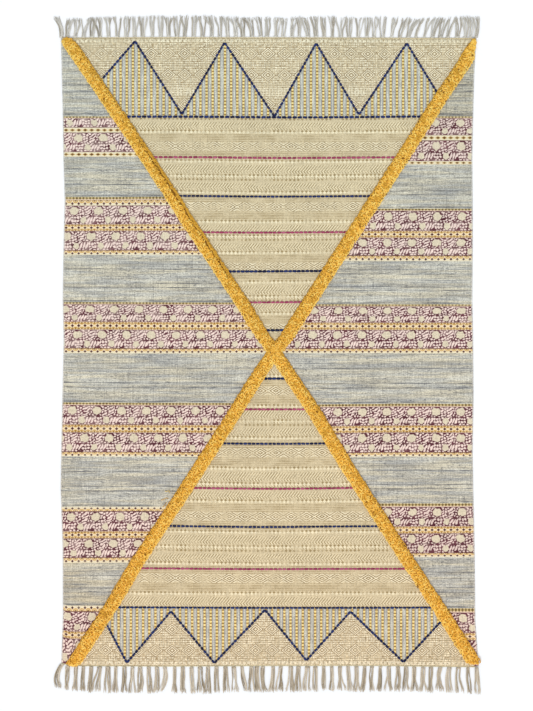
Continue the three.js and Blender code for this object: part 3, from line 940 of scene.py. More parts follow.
def swept_yarns(paths, radii, sides, shades, squash=1.0, sideways=None):
    """Closed yarns carried along paths (yarns, steps, 3). A ring's point is
    centre + radius * (cos a * sideways + squash * sin a * upward), with sideways level and square
    to the path unless it is given, and the first and last step close the yarn as poles.
    Gives points, quads, triangles and the map of shade class, way round and way along."""
    count, steps, _ = paths.shape
    rings = steps - 2
    tangents = unit(np.gradient(paths, axis=1))
    if sideways is None:
        sideways = unit(np.cross(tangents, [0.0, 0.0, 1.0]))
    sideways = np.broadcast_to(sideways, tangents.shape)
    upward = np.cross(sideways, tangents)
    angles = np.arange(sides) * math.tau / sides
    around = (
        np.cos(angles)[None, None, :, None] * sideways[:, 1:-1, None]
        + squash * np.sin(angles)[None, None, :, None] * upward[:, 1:-1, None]
    )
    tube = paths[:, 1:-1, None] + radii[:, 1:-1, None, None] * around
    tube = tube.reshape(count, rings * sides, 3)
    points = np.concatenate([paths[:, :1], tube, paths[:, -1:]], axis=1)

    side = np.arange(sides)
    after = (side + 1) % sides
    last = 1 + (rings - 1) * sides
    tip = last + sides
    first_fan = np.stack([np.zeros(sides, int), side + 1, after + 1], axis=-1)
    last_fan = np.stack([np.full(sides, tip), last + after, last + side], axis=-1)
    triangles = np.concatenate([first_fan, last_fan])
    offsets = (np.arange(count) * (2 + rings * sides))[:, None, None]
    quads = (ring_quads(rings, sides) + 1 + offsets).reshape(-1, 4)
    triangles = (triangles + offsets).reshape(-1, 3)

    near, far = np.array([side, side + 1]) / sides * 0.94 + 0.03
    middle = (near + far) / 2
    way_along = np.linspace(0, 1, steps)
    low, high = way_along[1:-2, None], way_along[2:-1, None]
    quad_map = corner_map((near, low), (near, high), (far, high), (far, low))
    start, stop = way_along[1], way_along[-2]
    fan_map = np.concatenate(
        [corner_map((middle, 0.0), (near, start), (far, start)),
         corner_map((middle, 1.0), (far, stop), (near, stop))]
    )
    shift = np.stack([shades, shades * 0], axis=-1)[:, None, None, :]
    charts = [((chart + shift) / [SHADES, 1]).reshape(-1, 2) for chart in (quad_map, fan_map)]
    return points.reshape(-1, 3), quads, triangles, charts


def joined(parts):
    """Several (points, quads, triangles, (quad map, fan map)) as one, with its chart."""
    shifts = np.concatenate([[0], np.cumsum([len(part[0]) for part in parts])[:-1]])
    points = np.concatenate([part[0] for part in parts])
    quads = np.concatenate([part[1] + shift for part, shift in zip(parts, shifts)])
    triangles = np.concatenate([part[2] + shift for part, shift in zip(parts, shifts)])
    chart = np.concatenate([part[3][kind] for kind in (0, 1) for part in parts])
    return points, quads, triangles, {"OFBake": chart}


def yarn_piece(name, parts, material):
    return add_piece(name, *joined(parts), [material])


# ---------------------------------------------------------------- the cloth

# The cloth's materials by kind: name, pattern, and how strong its slubs and its grain are.
WEAVES = {
    "streaks": ("Streaked ground", streaked_stripe, 0.6, 1.3),
    "flowers": ("Flower print", flower_stripe, 0.45, 0.7),
    "scallops": ("Facing scallops print", scallops_stripe, 0.45, 0.45),
    "scallop": ("Scallop edging print", scallop_stripe, 0.45, 0.45),
    "dashes": ("Dashed edging print", dashes_stripe, 0.45, 0.45),
    "beads": ("Beaded line print", beads_stripe, 0.45, 0.45),
    "field": ("Field rows print", field_print, 0.45, 0.75),
    "ends": ("Ends print", ends_print, 0.2, 1.2),
    "underside": ("Natural underside", underside, 0.45, 0.45),
}
KINDS = list(WEAVES)
STREAKS, FLOWERS, FIELD, PRINTED_ENDS, UNDERSIDE = (
    KINDS.index(kind) for kind in ("streaks", "flowers", "field", "ends", "underside")
)
HALF_FLOWERS_START = 0.54  # share of the flower band's depth where a half band begins

EDGE_ROUNDING = 1.6  # how far in from its edge the cloth is rounded
ROUNDED_FACE = 0.26  # share of its height that the face loses at the edge
ROUNDED_BACK = 1.1  # how far the back rises there
EDGE_CORD = (0.35, 2.4, 1.8)  # height, middle and half width of the cord along a selvedge
EDGE_BULGE = (0.5, 0, 0.4)  # how far the middle of the edge stands out, and up from half height
BAR_SPACE = 30  # least width between two bars over which the stripes' rows are blended
TURN_LEFT, TURN_WIDTH = -609, 1222  # left side and width of the ends that the zigzags cross
CHART_SIZE, CHART_MIDDLE = (1250.0, 1862.0), (625.0, 928.0)  # of the flat chart, over the cloth
CHART_FACE = 0.885  # share of the flat chart's width that the face has
CHART_BACK = (0.9, 0.095)  # where the back begins there, and its share
FAR_FROM_RIM = 99.0  # for the points of the back


def stripe_rows(stripes, section_edge):
    """Row lines down one side, from its stripes' edges: within each section a stripe takes rows in
    proportion to its depth, and one at least. Gives the lines, and each row's kind, its place in
    the stripe at its upper and lower line, and how far along its pattern is moved."""
    edges = [edge for kind, edge, blossom in stripes] + [BOTTOM_END]
    edges[0] = TOP_END
    cuts = [TOP_END, section_edge[0], section_edge[1], BOTTOM_END]
    indexes = []
    passed = 0
    for count, first, last in zip(ROW_COUNTS, cuts[:-1], cuts[1:]):
        inner = [edge for edge in edges if first >= edge > last]
        for order, edge in enumerate(inner):
            wanted = passed + round((first - edge) / (first - last) * count)
            floor = indexes[-1] + 1 if indexes else 0
            indexes.append(wanted if order == 0 else max(wanted, floor))
        passed += count
    indexes.append(passed)
    lines = np.interp(np.arange(passed + 1), indexes, edges)
    kinds, starts, stops, shifts = [], [], [], []
    for (kind, _, middle), first, last in zip(stripes, indexes[:-1], indexes[1:]):
        begin = HALF_FLOWERS_START if kind == "half_flowers" else 0.0
        shares = np.linspace(begin, 1.0, last - first + 1)
        if kind == "raised_scallop":
            shares = shares[::-1]
        kinds += [KINDS.index(kind.split("_")[-1])] * (last - first)
        starts += shares[:-1].tolist()
        stops += shares[1:].tolist()
        shifts += [LARGE_BLOSSOM - middle if "flowers" in kind else 0] * (last - first)
    return lines, np.array(kinds), np.array(starts), np.array(stops), np.array(shifts)


def face_patterns(x, level, from_end, left, right):
    """The kind of pattern on each face of the cloth, and its corners' places in the pattern."""
    left_kinds, left_start, left_stop, left_shift = left
    right_kinds, right_start, right_stop, right_shift = right
    rows = len(x)
    middle_x = (x[:-1, :-1] + x[1:, 1:]) / 2
    bar_left, bar_right = bars_at((level[:-1, :-1] + level[1:, 1:]) / 2)
    at_left, at_right = middle_x < bar_left, middle_x > bar_right
    row = np.arange(rows - 1)[:, None]
    lower_end = row >= sum(ROW_COUNTS[:2])
    in_ends = np.broadcast_to((row < ROW_COUNTS[0]) | lower_end, at_left.shape)

    def by_side(at_bars_left, between_bars, at_bars_right):
        values = np.where(at_left, at_bars_left[:, None], between_bars)
        return np.where(at_right, at_bars_right[:, None], values)

    def chart_at(down, across, left_place, right_place):
        take = (slice(down, rows - 1 + down), slice(across, COLUMNS + across))
        place = by_side(left_place, np.where(in_ends, from_end[take], repeats[take]), right_place)
        return np.stack([x[take] + moved, place], axis=-1)

    kinds = by_side(left_kinds, np.where(in_ends, PRINTED_ENDS, FIELD), right_kinds)
    repeats = np.interp(-level, -np.array(LATTICE_ROWS, float), np.arange(len(LATTICE_ROWS)))
    moved = by_side(left_shift, np.where(lower_end, -BOTTOM_PRINT_SHIFT, 0), right_shift)
    upper, lower = (left_start, right_start), (left_stop, right_stop)
    corners = [(0, 0, *upper), (1, 0, *lower), (1, 1, *lower), (0, 1, *upper)]
    return kinds, np.stack([chart_at(*corner) for corner in corners], axis=2)


def flat_chart(ring, quads, triangles):
    """A flat chart of the whole face, with the back squeezed beside it."""
    rows, around = ring.shape[:2]
    flat = (ring[..., :2] + CHART_MIDDLE) / CHART_SIZE
    here = np.arange(around)
    is_back = (here > COLUMNS + 1) & (here < around - 1)
    back_start, back_share = CHART_BACK
    across = flat[..., 0]
    flat[..., 0] = np.where(is_back, back_start + back_share * across, CHART_FACE * across)
    chart = flat.reshape(-1, 2)[np.concatenate([quads.ravel(), triangles.ravel()])]
    band = chart[: 4 * (rows - 1) * around].reshape(rows - 1, around, 4, 2)
    band[:, COLUMNS + 1] = band[:, COLUMNS + 1][:, [3, 2, 2, 3]]
    band[:, around - 2] = band[:, around - 2][:, [0, 1, 1, 0]]
    return chart


def ground_piece():
    """The cloth as one closed sheet on a grid of rows and columns. The columns run through the
    zigzags' corners, and the rows through the stripes' edges at the left and at the right, blended
    between the two bars. The back is the same grid, flat on the floor."""
    left_section, right_section = zip(*SECTION_EDGES)
    left_rows, *left = stripe_rows(LEFT_STRIPES, left_section)
    right_rows, *right = stripe_rows(RIGHT_STRIPES, right_section)
    mean_rows = (left_rows + right_rows) / 2
    left_edge, right_edge = selvedge(1, mean_rows), selvedge(2, mean_rows)

    share = (mean_rows - BOTTOM_END) / (TOP_END - BOTTOM_END)
    corners_top, corners_bottom = ZIGZAG_TOP[1:-1, 0], ZIGZAG_BOTTOM[1:-1, 0]
    corners = corners_bottom + share[:, None] * (corners_top - corners_bottom)
    knots = np.column_stack(
        [left_edge, left_edge + 0.4 * SELVEDGE_CORD, left_edge + SELVEDGE_CORD, corners,
         right_edge - SELVEDGE_CORD, right_edge - 0.4 * SELVEDGE_CORD, right_edge]
    )
    spread = (corners_top - TURN_LEFT) / TURN_WIDTH * COLUMNS
    knot_columns = np.concatenate([[0, 1, 2], np.round(spread), COLUMNS - np.arange(3)[::-1]])
    columns = np.arange(COLUMNS + 1)
    shares = np.eye(len(knot_columns))
    x = knots @ np.array([np.interp(columns, knot_columns, share) for share in shares])

    left_bar, right_bar = bars_at(mean_rows)
    space = np.maximum(right_bar - left_bar, BAR_SPACE)[:, None]
    blend = np.clip((x - left_bar[:, None]) / space, 0, 1)
    level = left_rows[:, None] + blend * (right_rows - left_rows)[:, None]
    y = level + drift(x, level) + end_bow(x, level)

    from_edge = np.minimum(x - left_edge[:, None], right_edge[:, None] - x)
    from_end = np.minimum(TOP_END - level, level - BOTTOM_END)
    rim = np.clip(1 - np.minimum(from_edge, from_end) / EDGE_ROUNDING, 0, 1)
    cord_height, cord_middle, cord_half = EDGE_CORD
    cord = cord_height * np.exp(-(((from_edge - cord_middle) / cord_half) ** 2))
    face = face_height(x, y) * (1 - ROUNDED_FACE * rim**2) + cord

    top = np.stack([x, y, face], axis=-1)
    bottom = np.stack([x, y, ROUNDED_BACK * rim**2], axis=-1)[:, ::-1]
    right_mid = top[:, -1:] * [1, 1, 0.5] + EDGE_BULGE
    left_mid = top[:, :1] * [1, 1, 0.5] + np.multiply(EDGE_BULGE, (-1, 1, 1))
    ring = np.concatenate([top, right_mid, bottom, left_mid], axis=1)
    rows, around = ring.shape[:2]

    over = np.arange(COLUMNS)
    under = 2 * COLUMNS + 2 - over
    end_quads = np.stack([over, over + 1, under - 1, under], axis=-1)
    last_row = (rows - 1) * around
    quads = np.concatenate([ring_quads(rows, around), end_quads, end_quads[:, ::-1] + last_row])
    tips = np.array([[COLUMNS, COLUMNS + 1, COLUMNS + 2], [0, 2 * COLUMNS + 2, 2 * COLUMNS + 3]])
    triangles = np.concatenate([tips, tips[:, ::-1] + last_row])

    # The face's patterns run on over the two long edges, and the ends are plain.
    kinds, face_chart = face_patterns(x, level, from_end, left, right)
    chart = np.zeros((rows - 1, around, 4, 2))
    chart[:, :COLUMNS] = face_chart
    chart[:, COLUMNS] = face_chart[:, -1, 3:4]
    chart[:, around - 1] = face_chart[:, 0, 0:1]
    behind = (kinds == STREAKS) + 2.0 * (kinds == FLOWERS)
    chart[:, COLUMNS + 2 : 2 * COLUMNS + 2, :, 1] = behind[:, ::-1, None]
    end_chart = np.zeros((8 * COLUMNS + 3 * len(triangles), 2))
    slots = np.full((rows - 1, around), UNDERSIDE)
    slots[:, :COLUMNS] = kinds
    slots[:, COLUMNS] = kinds[:, -1]
    slots[:, around - 1] = kinds[:, 0]
    end_slots = np.full(2 * COLUMNS + len(triangles), PRINTED_ENDS)
    slots = np.concatenate([slots.ravel(), end_slots])
    charts = {
        "print": np.concatenate([chart.reshape(-1, 2), end_chart]),
        "OFBake": flat_chart(ring, quads, triangles),
    }
    materials = [cloth_material(*weave) for weave in WEAVES.values()]
    piece = add_piece("rug_cloth", ring.reshape(-1, 3), quads, triangles, charts, materials, slots)

    top_line = np.interp(x, ZIGZAG_TOP[:, 0], ZIGZAG_TOP[:, 1]) - level
    bottom_line = level - np.interp(x, ZIGZAG_BOTTOM[:, 0], ZIGZAG_BOTTOM[:, 1])
    inside = np.zeros((rows, around))
    inside[:, : COLUMNS + 1] = np.where(level > 0, top_line, bottom_line)
    from_rim = np.full((rows, around), FAR_FROM_RIM)
    from_rim[:, : COLUMNS + 1] = from_edge
    from_rim[:, [COLUMNS + 1, around - 1]] = 0
    for label, values in (("zigzag", inside), ("rim", from_rim)):
        attribute = piece.data.attributes.new(label, "FLOAT", "POINT")
        attribute.data.foreach_set("value", values.astype(np.float32).ravel())
    return piece


# ---------------------------------------------------------------- the tufted cross

LOOP_AREA = 22.0  # cloth area for each loop of pile, in square millimetres
RIM_PITCH = 6.2  # between the low loops along a bar's rims
RIM_HEIGHT = 1.2  # of their roots over the cloth
LOOP_STEPS = 7
LOOP_SIDES = 5
END_OVERHANG = 7.0  # how far a bar's last loops reach past the end of its middle line
# How each bar's end narrows: over what length, and by what power of the way to its tip.
END_TAPER = {
    "upper_left": (16, 0.5), "upper_right": (64, 0.6),
    "lower_left": (9, 0.5), "lower_right": (9, 0.5),
}
# On the upper left bar the right flank is trodden flat between these heights, with a rift along it.
TRODDEN = {"upper_left": (225.0, 640.0)}
# Ranges of a loop's half width and height, and of its yarn's radius.
LOOP_HALF, LOOP_TALL, LOOP_RADIUS = (3.1, 5.0), (2.4, 3.5), (1.4, 1.95)
TRODDEN_HALF, TRODDEN_TALL = 6.5, 1.9
# How much lower the loops lie in the rift, where trodden and in the hollows.
RIFT_SUNK, TRODDEN_SUNK, HOLLOW_SUNK = 5.2, 1.6, 1.1
STRAY_CREVICE_SHADE = 0.008  # share of loops that take the darkest shade, painted shade in crevices
RIFT_PLACE, RIFT_WIDTH = 0.6, 0.2  # middle across the footing, and width among the loops
HOLLOW = 1.2  # pile lies in a hollow where the sum of its two sines is over this
FOOTING_ROWS, FOOTING_COLUMNS = 150, 11
BED_RIM = 1.2  # height of the footing's side


def pile_surface(bar, share, place):
    """Place of the pile's rounded surface: a share of the way along a bar, and a place across it
    from -1 at its left rim to 1 at its right rim. Near the bar's end the width falls by a power of
    the way to its tip."""
    tip = BARS[bar][-1, 1]
    outward = np.sign(tip)
    start, end = CROSSING[1], tip + outward * END_OVERHANG
    y = start + share * (end - start)
    taper, power = END_TAPER[bar]
    from_tip = np.clip(np.abs(end - y) / taper, 0, 1)
    half = BAR_WIDTH / 2 * np.maximum(from_tip, 0.02) ** power
    x = bar_x(bar, y) + place * half
    height = CLOTH + PILE_GAP + PILE_RIM + PILE_CROWN * np.sqrt(np.clip(1 - place**2, 0, 1))
    return x, y, height


def pile_footing(bar, shades):
    """The bed that the loops stand in: a rounded bar, lumpy by crossed sines, closed underneath and
    cut in along the rift. Its yarn classes are painted shade: dark between the loops, and the
    darkest along the rift."""
    ways = np.linspace(0.004, 1, FOOTING_ROWS), np.linspace(-1, 1, FOOTING_COLUMNS)
    share, place = np.meshgrid(*ways, indexing="ij")
    x, y, height = pile_surface(bar, share, place * 0.84)
    lumps = 0.6 * np.sin(y / 3.1 + 5 * place) + 0.5 * np.sin(y / 5.3 - 7 * place + 1)
    low, high = TRODDEN.get(bar, (0, 0))
    rift = (y > low) & (y < high) & (np.abs(place - RIFT_PLACE) < 0.05)
    top = np.stack([x, y, height - 2.9 + lumps * (1 - place**4) - 2.4 * rift], axis=-1)
    floor = CLOTH + PILE_GAP
    top[:, [0, -1], 2] = floor + BED_RIM
    under = np.stack([x, y, np.full_like(x, floor)], axis=-1)[:, ::-1]
    ring = np.concatenate([top, under], axis=1)
    rows, around = ring.shape[:2]
    across = FOOTING_COLUMNS
    over = np.arange(across - 1)
    under = around - 1 - over
    cap = np.stack([over, over + 1, under - 1, under], axis=-1)
    quads = np.concatenate([ring_quads(rows, around), cap, cap[:, ::-1] + (rows - 1) * around])
    if BARS[bar][-1, 1] > 0:
        quads = quads[:, ::-1]
    # Painted shade between the loops: the footing takes dark classes, and the darkest beside the
    # rift.
    number = shades.integers(1, 3, len(quads))
    beside = np.zeros((rows - 1, around), bool)
    beside[:, : across - 1] = (rift[:, 1:] | rift[:, :-1])[:-1]
    number[: beside.size][beside.ravel()] = 0
    shade = np.repeat(number, 4) + np.tile([0.2, 0.4, 0.6, 0.8], len(quads))
    chart = np.stack([shade / SHADES, np.full(len(shade), 0.3)], axis=-1)
    return ring.reshape(-1, 3), quads, np.zeros((0, 3), int), (chart, np.zeros((0, 2)))


def pile_loops(bar, seed):
    """Loops of yarn: each is the upper part of an upright ellipse through the footing,
    (a cos t, b sin t), turned a random way, leaning outward near the rims, with lumpy radius.
    Trodden loops lie low along the bar, those of the rift deepest, and loops in the hollows of
    sin(x + sin y) + sin(y + sin x) are sunk. Their shade classes carry painted shade: darker where
    sunk or trodden and along the upper rim, darkest in the rift, and paler along the lower rim as
    painted light."""
    random = np.random.default_rng(seed)
    length = abs(BARS[bar][-1, 1] - CROSSING[1]) + END_OVERHANG
    count = int(length * BAR_WIDTH / LOOP_AREA)
    across_count = round(math.sqrt(count * BAR_WIDTH / length))
    along_count = count // across_count
    ways = [(np.arange(count) + 0.5) / count for count in (along_count, across_count)]
    share, place = np.meshgrid(*ways, indexing="ij")
    share = share.ravel() + random.uniform(-0.55, 0.55, share.size) / along_count
    place = place.ravel() * 2 - 1 + random.uniform(-1.0, 1.0, place.size) / across_count
    place = np.clip(place, -1, 1) * 0.87
    way = BARS[bar][-1] - BARS[bar][0]
    rim_count = int(np.linalg.norm(way) / RIM_PITCH)
    rim_share = np.tile((np.arange(rim_count) + 0.5) / rim_count, 2)
    rim_place = np.repeat([-0.9, 0.9], rim_count) + random.uniform(-0.03, 0.03, 2 * rim_count)
    at_rim = np.arange(place.size + rim_place.size) >= place.size
    share, place = np.concatenate([share, rim_share]), np.concatenate([place, rim_place])
    share = np.clip(share, 0.003, 0.997)
    x, y, height = pile_surface(bar, share, place)

    low, high = TRODDEN.get(bar, (0, 0))
    edge = 0.38 + 0.07 * np.sin(y / 13) + 0.05 * np.sin(y / 4.7)
    trodden = (y > low) & (y < high) & (place > edge) & ~at_rim
    turn = random.uniform(0, math.pi, x.size)
    along_bar = math.atan2(way[1], way[0])
    turn = np.where(at_rim, along_bar + random.normal(0, 0.45, x.size), turn)
    turn = np.where(trodden, along_bar + random.normal(0, 0.22, x.size), turn)
    heading = np.stack([np.cos(turn), np.sin(turn), 0 * turn], axis=-1)
    lean_x = 0.6 * np.sign(place) * place**2 + random.normal(0, 0.3, x.size)
    lean_x = np.where(trodden, 0.25, lean_x)
    lean_y = random.normal(0, 0.3, x.size)
    upright = unit(np.stack([lean_x, lean_y, np.ones_like(lean_x)], axis=-1))
    heading = unit(heading - (heading * upright).sum(-1, keepdims=True) * upright)
    half = np.where(trodden, TRODDEN_HALF, random.uniform(*LOOP_HALF, x.size))
    tall = np.where(trodden, TRODDEN_TALL, random.uniform(*LOOP_TALL, x.size))
    radius = random.uniform(*LOOP_RADIUS, x.size)
    rift = trodden & (place < edge + RIFT_WIDTH)
    across_wave = np.sin(x / 6.1 + 1.7 * np.sin(y / 15))
    hollow = across_wave + np.sin(y / 7.7 + 0.9 * np.sin(x / 11)) > HOLLOW
    sunk = np.where(trodden, TRODDEN_SUNK, random.normal(0, 0.35, x.size))
    sunk = np.where(rift, RIFT_SUNK, sunk)
    sunk = np.where(hollow & ~trodden, sunk + HOLLOW_SUNK, sunk)
    sunk = np.where(at_rim, height - tall - radius * 0.4 - CLOTH - RIM_HEIGHT, sunk)
    middle = np.stack([x, y, height - tall - radius * 0.4 - sunk], axis=-1)
    swing = np.linspace(-0.32, math.pi + 0.32, LOOP_STEPS)[None, :, None]
    paths = (
        middle[:, None]
        + np.cos(swing) * half[:, None, None] * heading[:, None]
        + np.sin(swing) * tall[:, None, None] * upright[:, None]
    )
    paths[..., 2] = np.maximum(paths[..., 2], CLOTH + PILE_GAP + 0.4)
    plump = 1 + random.uniform(-0.14, 0.14, paths.shape[:2])
    # Painted light and shade: loops are dark along the upper rim, which faces away from the sun,
    # and pale along the lower rim, which faces it. Loops in the hollows and trodden loops are
    # darker too, as painted shade. The rift's loops and a few stray ones take the darkest class, as
    # painted shade in the crevices.
    shades = random.integers(3, SHADES, x.size)
    # upward grows towards the bar's upper rim, the side away from the sun, where loops take painted
    # shade.
    upward = place * -np.sign(way[0] * way[1])
    shades = np.where(upward > 0.76, random.integers(1, 5, x.size), shades)
    shades = np.where(hollow, 1 + shades % 5, shades)
    shades = np.where(upward > 0.86, random.integers(1, 3, x.size), shades)
    shades = np.where(upward < -0.72, random.integers(8, SHADES, x.size), shades)
    shades = np.where(trodden, random.integers(1, 4, x.size), shades)
    shades = np.where(rift | (random.uniform(0, 1, x.size) < STRAY_CREVICE_SHADE), 0, shades)
    sideways = np.cross(upright, heading)[:, None]
    return swept_yarns(paths, radius[:, None] * plump, LOOP_SIDES, shades, sideways=sideways)


def loose_threads(seed):
    """A few tails of pile yarn that lie on the cloth beside the lower left bar."""
    random = np.random.default_rng(seed)
    steps = np.linspace(0, 1, 12)
    roots = np.array([(-288, -408), (-292, -424), (-298, -436)])
    reach = np.array([(-16, 6), (-24, -6), (-12, -16)])
    way = roots[:, None] + reach[:, None] * steps[None, :, None]
    sway = 2.6 * np.sin(steps * 7 + random.uniform(0, 6, (3, 1))) * np.sin(steps * math.pi)
    height = np.full(way.shape[:2], CLOTH + 1.1)
    paths = np.stack([way[..., 0] + sway, way[..., 1] + sway, height], axis=-1)
    return swept_yarns(paths, np.full(paths.shape[:2], 0.8), 5, random.integers(0, SHADES, 3))


def pile_piece(bar, seed, material):
    random = np.random.default_rng(seed + 50)
    parts = [pile_footing(bar, random), pile_loops(bar, seed)]
    if bar == "lower_left":
        parts.append(loose_threads(seed))
    return yarn_piece("pile_" + bar, parts, material)


# ---------------------------------------------------------------- running stitches


def lines_between_bars(levels):
    """Start and end of each stitched row, just inside the two bars."""
    left, right = bars_at(np.array(levels, float))
    inset = BAR_WIDTH / 2 - 2
    return [((a + inset, level), (b - inset, level)) for a, b, level in zip(left, right, levels)]


def stitches(runs, pitch, cover, width, seed):
    """Running stitches along straight runs, each long enough to cover a share of its pitch: a short
    arc of thread that rises out of the cloth and dives back, where the height is a base and a rise
    times sqrt(cos(pi * t)), with t from -1/2 to 1/2 along the stitch."""
    random = np.random.default_rng(seed)
    centres, headings, dashes = [], [], []
    for start, stop in runs:
        start, stop = np.array(start, float), np.array(stop, float)
        length = np.linalg.norm(stop - start)
        count = max(round(length / pitch), 1)
        shares = (np.arange(count) + 0.5) / count
        centres.append(start + (stop - start) * shares[:, None])
        headings.append(np.broadcast_to((stop - start) / length, (count, 2)))
        dashes.append(np.full(count, cover * length / count))
    centres, headings, dashes = map(np.concatenate, (centres, headings, dashes))
    angle = random.normal(0, 0.05, len(centres))
    cosine, sine = np.cos(angle), np.sin(angle)
    across, down = headings.T
    turned = np.stack([across * cosine - down * sine, across * sine + down * cosine], axis=-1)
    along = np.linspace(-0.5, 0.5, 8)[None, :, None]
    lengths = (dashes * random.uniform(0.94, 1.06, len(centres)))[:, None, None]
    flat = centres[:, None] + turned[:, None] * lengths * along
    flat[..., 1] += drift(flat[..., 0], flat[..., 1])
    rise = np.sqrt(np.clip(np.cos(along[..., 0] * math.pi), 0, 1))
    height = face_height(flat[..., 0], flat[..., 1]) - 1.0 + 1.9 * rise
    paths = np.concatenate([flat, height[..., None]], axis=-1)
    radii = width / 2 * (0.72 + 0.28 * rise) * random.uniform(0.94, 1.06, (len(centres), 1))
    return swept_yarns(paths, radii, 8, random.integers(0, SHADES, len(centres)), squash=0.62)


# ---------------------------------------------------------------- the fringes


def uneven(index, channel):
    """A repeatable value between -1 and 1 for each pair of whole numbers."""
    wave = np.sin(index * 12.9898 + channel * 78.233) * 43758.5453
    return 2 * (wave - np.floor(wave)) - 1


BUNDLES = 3  # twisted bundles in a tassel
BUNDLE_YARNS = 7
FAN_AT_ROOT = 3.8  # half width
FAN_EXTRA = {1: 2.6, -1: 0.7}  # half width added at the tip, by the end's side
KNOT_TURNS, KNOT_PITCH = 2.3, 1.7
KNOT_WIDE, KNOT_TALL, KNOT_YARN = 4.0, 2.2, 1.2  # half width, half height and yarn radius
KNOT_PLACE = 0.05  # share of the tassel's length from its root to its knot
STRIP_TWIST = 13  # length in which the strip's two cords twine once
# Step of the cords' paths, height of the strip's middle, and how far from it the cords turn.
STRIP_STEP, STRIP_HEIGHT, STRIP_RADIUS = 1.6, 2.6, 0.8


def fringe_piece(name, seed, materials):
    """A twined strip along the cloth's end, and tassels that each leave it through a wrapped knot
    as three loosely twisted bundles. A bundle's sideways place is
    lean * s^1.3 + bulge * sin(pi s) + its share of the fan + a sway of its own, where s runs from
    the root to the tip, and its yarns turn round it as a helix that opens out at the tip."""
    side, rows = FRINGES[name]
    random = np.random.default_rng(seed)
    number = np.arange(int(rows[-1, 0]) + 1)
    place, lean, spread, bulge, reach = (
        np.interp(number, rows[:, 0], rows[:, column]) for column in range(1, 6)
    )
    root = place + 1.2 * uneven(number, 1)
    sway = lean + 1.5 * uneven(number, 3)
    length = reach - TASSEL_START + 2.5 * uneven(number, 2)
    end = cloth_end(root, side)

    steps = 11
    way = np.append(np.linspace(0, 0.985, steps - 1), 1)[None, None, None]
    tassel = (slice(None), None, None, None)
    bundle_shape = (len(number), BUNDLES, 1, 1)
    yarn_shape = (len(number), BUNDLES, BUNDLE_YARNS, 1)
    fan = np.linspace(-1, 1, BUNDLES)[None, :] + random.normal(0, 0.3, bundle_shape[:2])
    fan = fan[..., None, None]
    wander = random.uniform(0.8, 4.4, bundle_shape) * np.sin(
        way * random.uniform(2.5, 6.5, bundle_shape) + random.uniform(0, 6.3, bundle_shape)
    )
    half = FAN_AT_ROOT * (1 - way) + (spread[tassel] + FAN_EXTRA[side]) * way**1.2
    middle = (
        root[tassel]
        + sway[tassel] * way**TASSEL_BEND
        + bulge[tassel] * np.sin(math.pi * way)
        + fan * half
        + wander * np.sin(math.pi * way / 2) ** 2
    )
    turns = random.uniform(-1.1, 1.1, bundle_shape)
    angle = random.uniform(0, math.tau, yarn_shape) + turns * way * math.tau
    ring = 1.5 + 0.5 * way + 1.7 * way**6
    thick = random.uniform(0.72, 1.0, yarn_shape) * (1 - 0.3 * way**2)
    x = middle + ring * np.cos(angle)
    reach_share = way * random.uniform(0.9, 1.04, yarn_shape)
    y = end[tassel] + side * (TASSEL_START + length[tassel] * reach_share)
    stack = np.array([0.0, 1.0, 0.35])[None, :, None, None] * 1.5 * (1 - way)
    z = 0.8 + ring * 0.72 * (1 + np.sin(angle)) + stack + 0.9 * (1 - way)
    paths = np.stack(np.broadcast_arrays(x, y, z), axis=-1).reshape(-1, steps, 3)
    radii = np.broadcast_to(thick, x.shape).reshape(-1, steps)
    tone = random.integers(0, SHADES, bundle_shape[:2])[..., None]
    shades = np.clip(tone + random.integers(-3, 4, yarn_shape[:3]), 0, SHADES - 1).ravel()
    strands = swept_yarns(paths, radii, 4, shades)

    turn = np.linspace(0, KNOT_TURNS * math.tau, 22)[None]
    knot_x = (root + sway * KNOT_PLACE**TASSEL_BEND)[:, None]
    knot_y = (end + side * (TASSEL_START + length * KNOT_PLACE))[:, None]
    coil_x = knot_x + KNOT_WIDE * np.cos(turn)
    coil_y = knot_y + side * KNOT_PITCH * (turn / math.tau - KNOT_TURNS / 2)
    coil_z = KNOT_TALL + KNOT_YARN + KNOT_TALL * np.sin(turn) + 0 * knot_x
    coil = np.stack([coil_x, coil_y, coil_z], axis=-1)
    level = np.array([[[0.0, side, 0.0]]])
    knot_shades = random.integers(2, 9, len(number))
    knots = swept_yarns(coil, np.full(coil_x.shape, KNOT_YARN), 5, knot_shades, sideways=level)

    run = np.arange(ENDS[0, 0], ENDS[-1, 0], STRIP_STEP)[None]
    phase = np.array([0, math.pi])[:, None]
    twist = run * math.tau / STRIP_TWIST + phase
    cord_y = cloth_end(run, side) + side * STRIP_OUT + STRIP_RADIUS * np.cos(twist)
    cord_z = STRIP_HEIGHT + STRIP_RADIUS * np.sin(twist)
    cord = np.stack([run + 0 * phase, cord_y, cord_z], axis=-1)
    thickness = np.array([[1.2], [1.0]]) + 0 * run
    strip = swept_yarns(cord, thickness, 6, np.array([9, 6]))
    parts = [strands, knots, strip]
    slots = np.concatenate(
        [np.full(len(part[kind]), int(part is strip)) for kind in (1, 2) for part in parts]
    )
    return add_piece("tassels_" + name.split("_")[1], *joined(parts), materials, slots)


# ---------------------------------------------------------------- making the rug

ground = ground_piece()
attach(ground, "root")
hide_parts("rug_ground")

# The darkest dye is painted shade in the rift and crevices. The second is mostly painted shade on
# the upper rim, in hollows, in trodden pile and on the footing, and the end colour is painted shade
# where loops dive into the footing. The palest is partly painted light on the lower rim.
mustard = yarn_material(
    "Mustard pile", [(146, 97, 20), (215, 164, 53), (251, 193, 74), (255, 219, 114)],
    (206, 146, 36), turns=2.0, core=0.45, aged=True,
)
for order, bar in enumerate(BARS):
    pile = pile_piece(bar, 11 + order, mustard)
    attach(pile, "root")
    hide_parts("tuft_" + bar)

